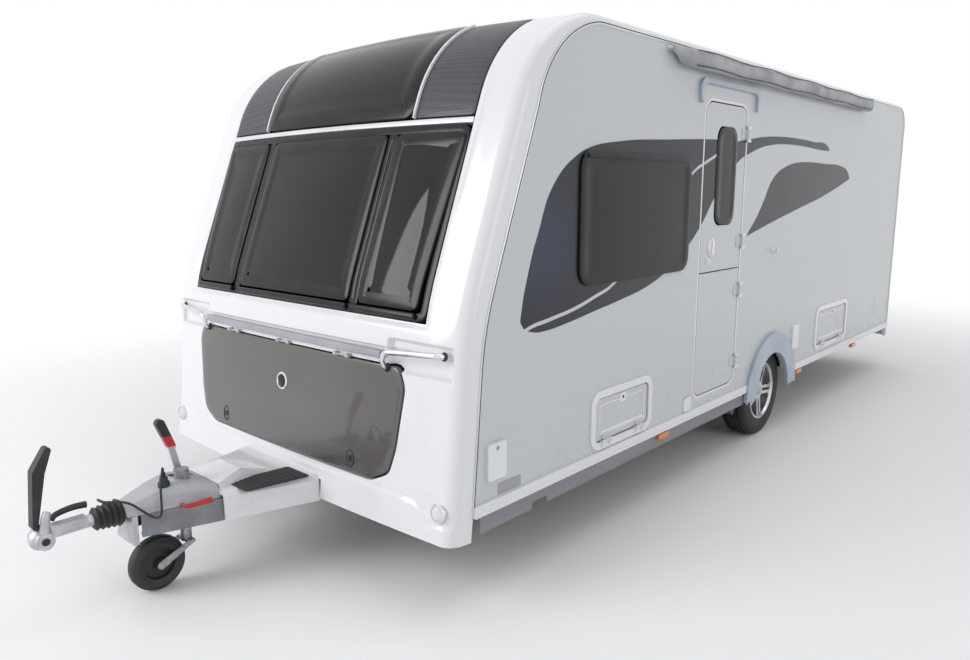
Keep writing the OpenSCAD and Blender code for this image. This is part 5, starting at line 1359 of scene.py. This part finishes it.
tube("clamp_handle",
     [(0.128, -0.600, 0.400), (0.150, -0.596, 0.399), (0.165, -0.585, 0.399), (0.176, -0.540, 0.402),
                      (0.186, -0.492, 0.406)], (0.0070, 0.0125), red_plastic, "black_plastic")
tube("breakaway_grip", [(-0.045, -1.046, 0.424), (-0.050, -1.029, 0.442), (-0.050, -0.970, 0.453),
                        (-0.050, -0.912, 0.450)], (0.011, 0.014), black_rubber, "black_rubber")
tube("head_release",
     [(0.030, -1.094, 0.410), (0.034, -1.092, 0.450), (0.036, -1.088, 0.478), (0.036, -1.080, 0.496)],
     (0.020, 0.013), cast_silver, "cast_silver")
caps = [turned((side * 0.0515, behind_foot(-1.100), 0.385), [
    (side * 0.0, 0.0150), (side * 0.0026, 0.0150), (side * 0.0040, 0.0125), (side * 0.0040, 0.004)], "X", 32)
    for side in (-1, 1)]
piece("head_pad_caps", *joined(caps), black_plastic, "caravan", (), "black_plastic")

# --- Floor, backdrop and light -------------------------------------------------------------
# A pale floor that fades to white, a white surround, and large soft lamps over the front
# corner, so that the front is brighter than the side.
floor_finish = Finish("studio_floor")
away = floor_finish.add("ShaderNodeVectorMath", {"operation": "LENGTH"},
                        {0: floor_finish.stretched((1, 0.7, 0))}, "Value")
mottle = floor_finish.noise(0.8, 3)
floor_finish.shade(Base_Color=floor_finish.blend(away.ease(3.0, 8.0), (0.94, 0.94, 0.94), (0.96, 0.96, 0.96)),
                   Roughness=mottle * 0.1 + 0.75, Alpha=1.0 - away.ease(2.6, 6.5))
ground = bpy.data.meshes.new("studio_floor")
ground.from_pydata([(-60, -60, 0), (60, -60, 0), (60, 60, 0), (-60, 60, 0)], [], [(0, 1, 2, 3)])
ground.materials.append(floor_finish.material)
studio_floor = bpy.data.objects.new("studio_floor", ground)
bpy.context.scene.collection.objects.link(studio_floor)

sky = bpy.data.worlds.new("studio")
sky.use_nodes = True
bpy.context.scene.world = sky
net = sky.node_tree
soft = net.nodes["Background"]
soft.inputs["Color"].default_value, soft.inputs["Strength"].default_value = (0.95, 0.97, 1.0, 1), 0.60
plain = net.nodes.new("ShaderNodeBackground")
plain.inputs["Color"].default_value = (1, 1, 1, 1)
rays = net.nodes.new("ShaderNodeLightPath")
pick = net.nodes.new("ShaderNodeMixShader")
either = [net.nodes.new("ShaderNodeMath") for _ in range(2)]
for node in either:
    node.operation = "MAXIMUM"
net.links.new(rays.outputs["Is Camera Ray"], either[0].inputs[0])
net.links.new(rays.outputs["Is Glossy Ray"], either[0].inputs[1])
net.links.new(either[0].outputs[0], either[1].inputs[0])
net.links.new(rays.outputs["Is Transmission Ray"], either[1].inputs[1])
net.links.new(either[1].outputs[0], pick.inputs[0])
net.links.new(soft.outputs[0], pick.inputs[1])
net.links.new(plain.outputs[0], pick.inputs[2])
net.links.new(pick.outputs[0], net.nodes["World Output"].inputs["Surface"])
bpy.context.scene.view_settings.view_transform = "Standard"


def lamp(name, spot, aim, power, size):
    light = bpy.data.lights.new(name, "AREA")
    light.shape, light.size, light.energy = "DISK", size, power
    made = bpy.data.objects.new(name, light)
    made.location = spot
    made.rotation_euler = (Vector(aim) - Vector(spot)).to_track_quat("-Z", "Y").to_euler()
    bpy.context.scene.collection.objects.link(made)


lamp("key", (-3.5, -9.5, 4.6), (0, -2.0, 1.2), 430, 6.0)
lamp("top", (2.0, 1.0, 9.0), (0, 0, 1.0), 120, 7.0)
lamp("side", (9.0, -1.0, 3.5), (1.0, 0, 1.2), 90, 5.0)
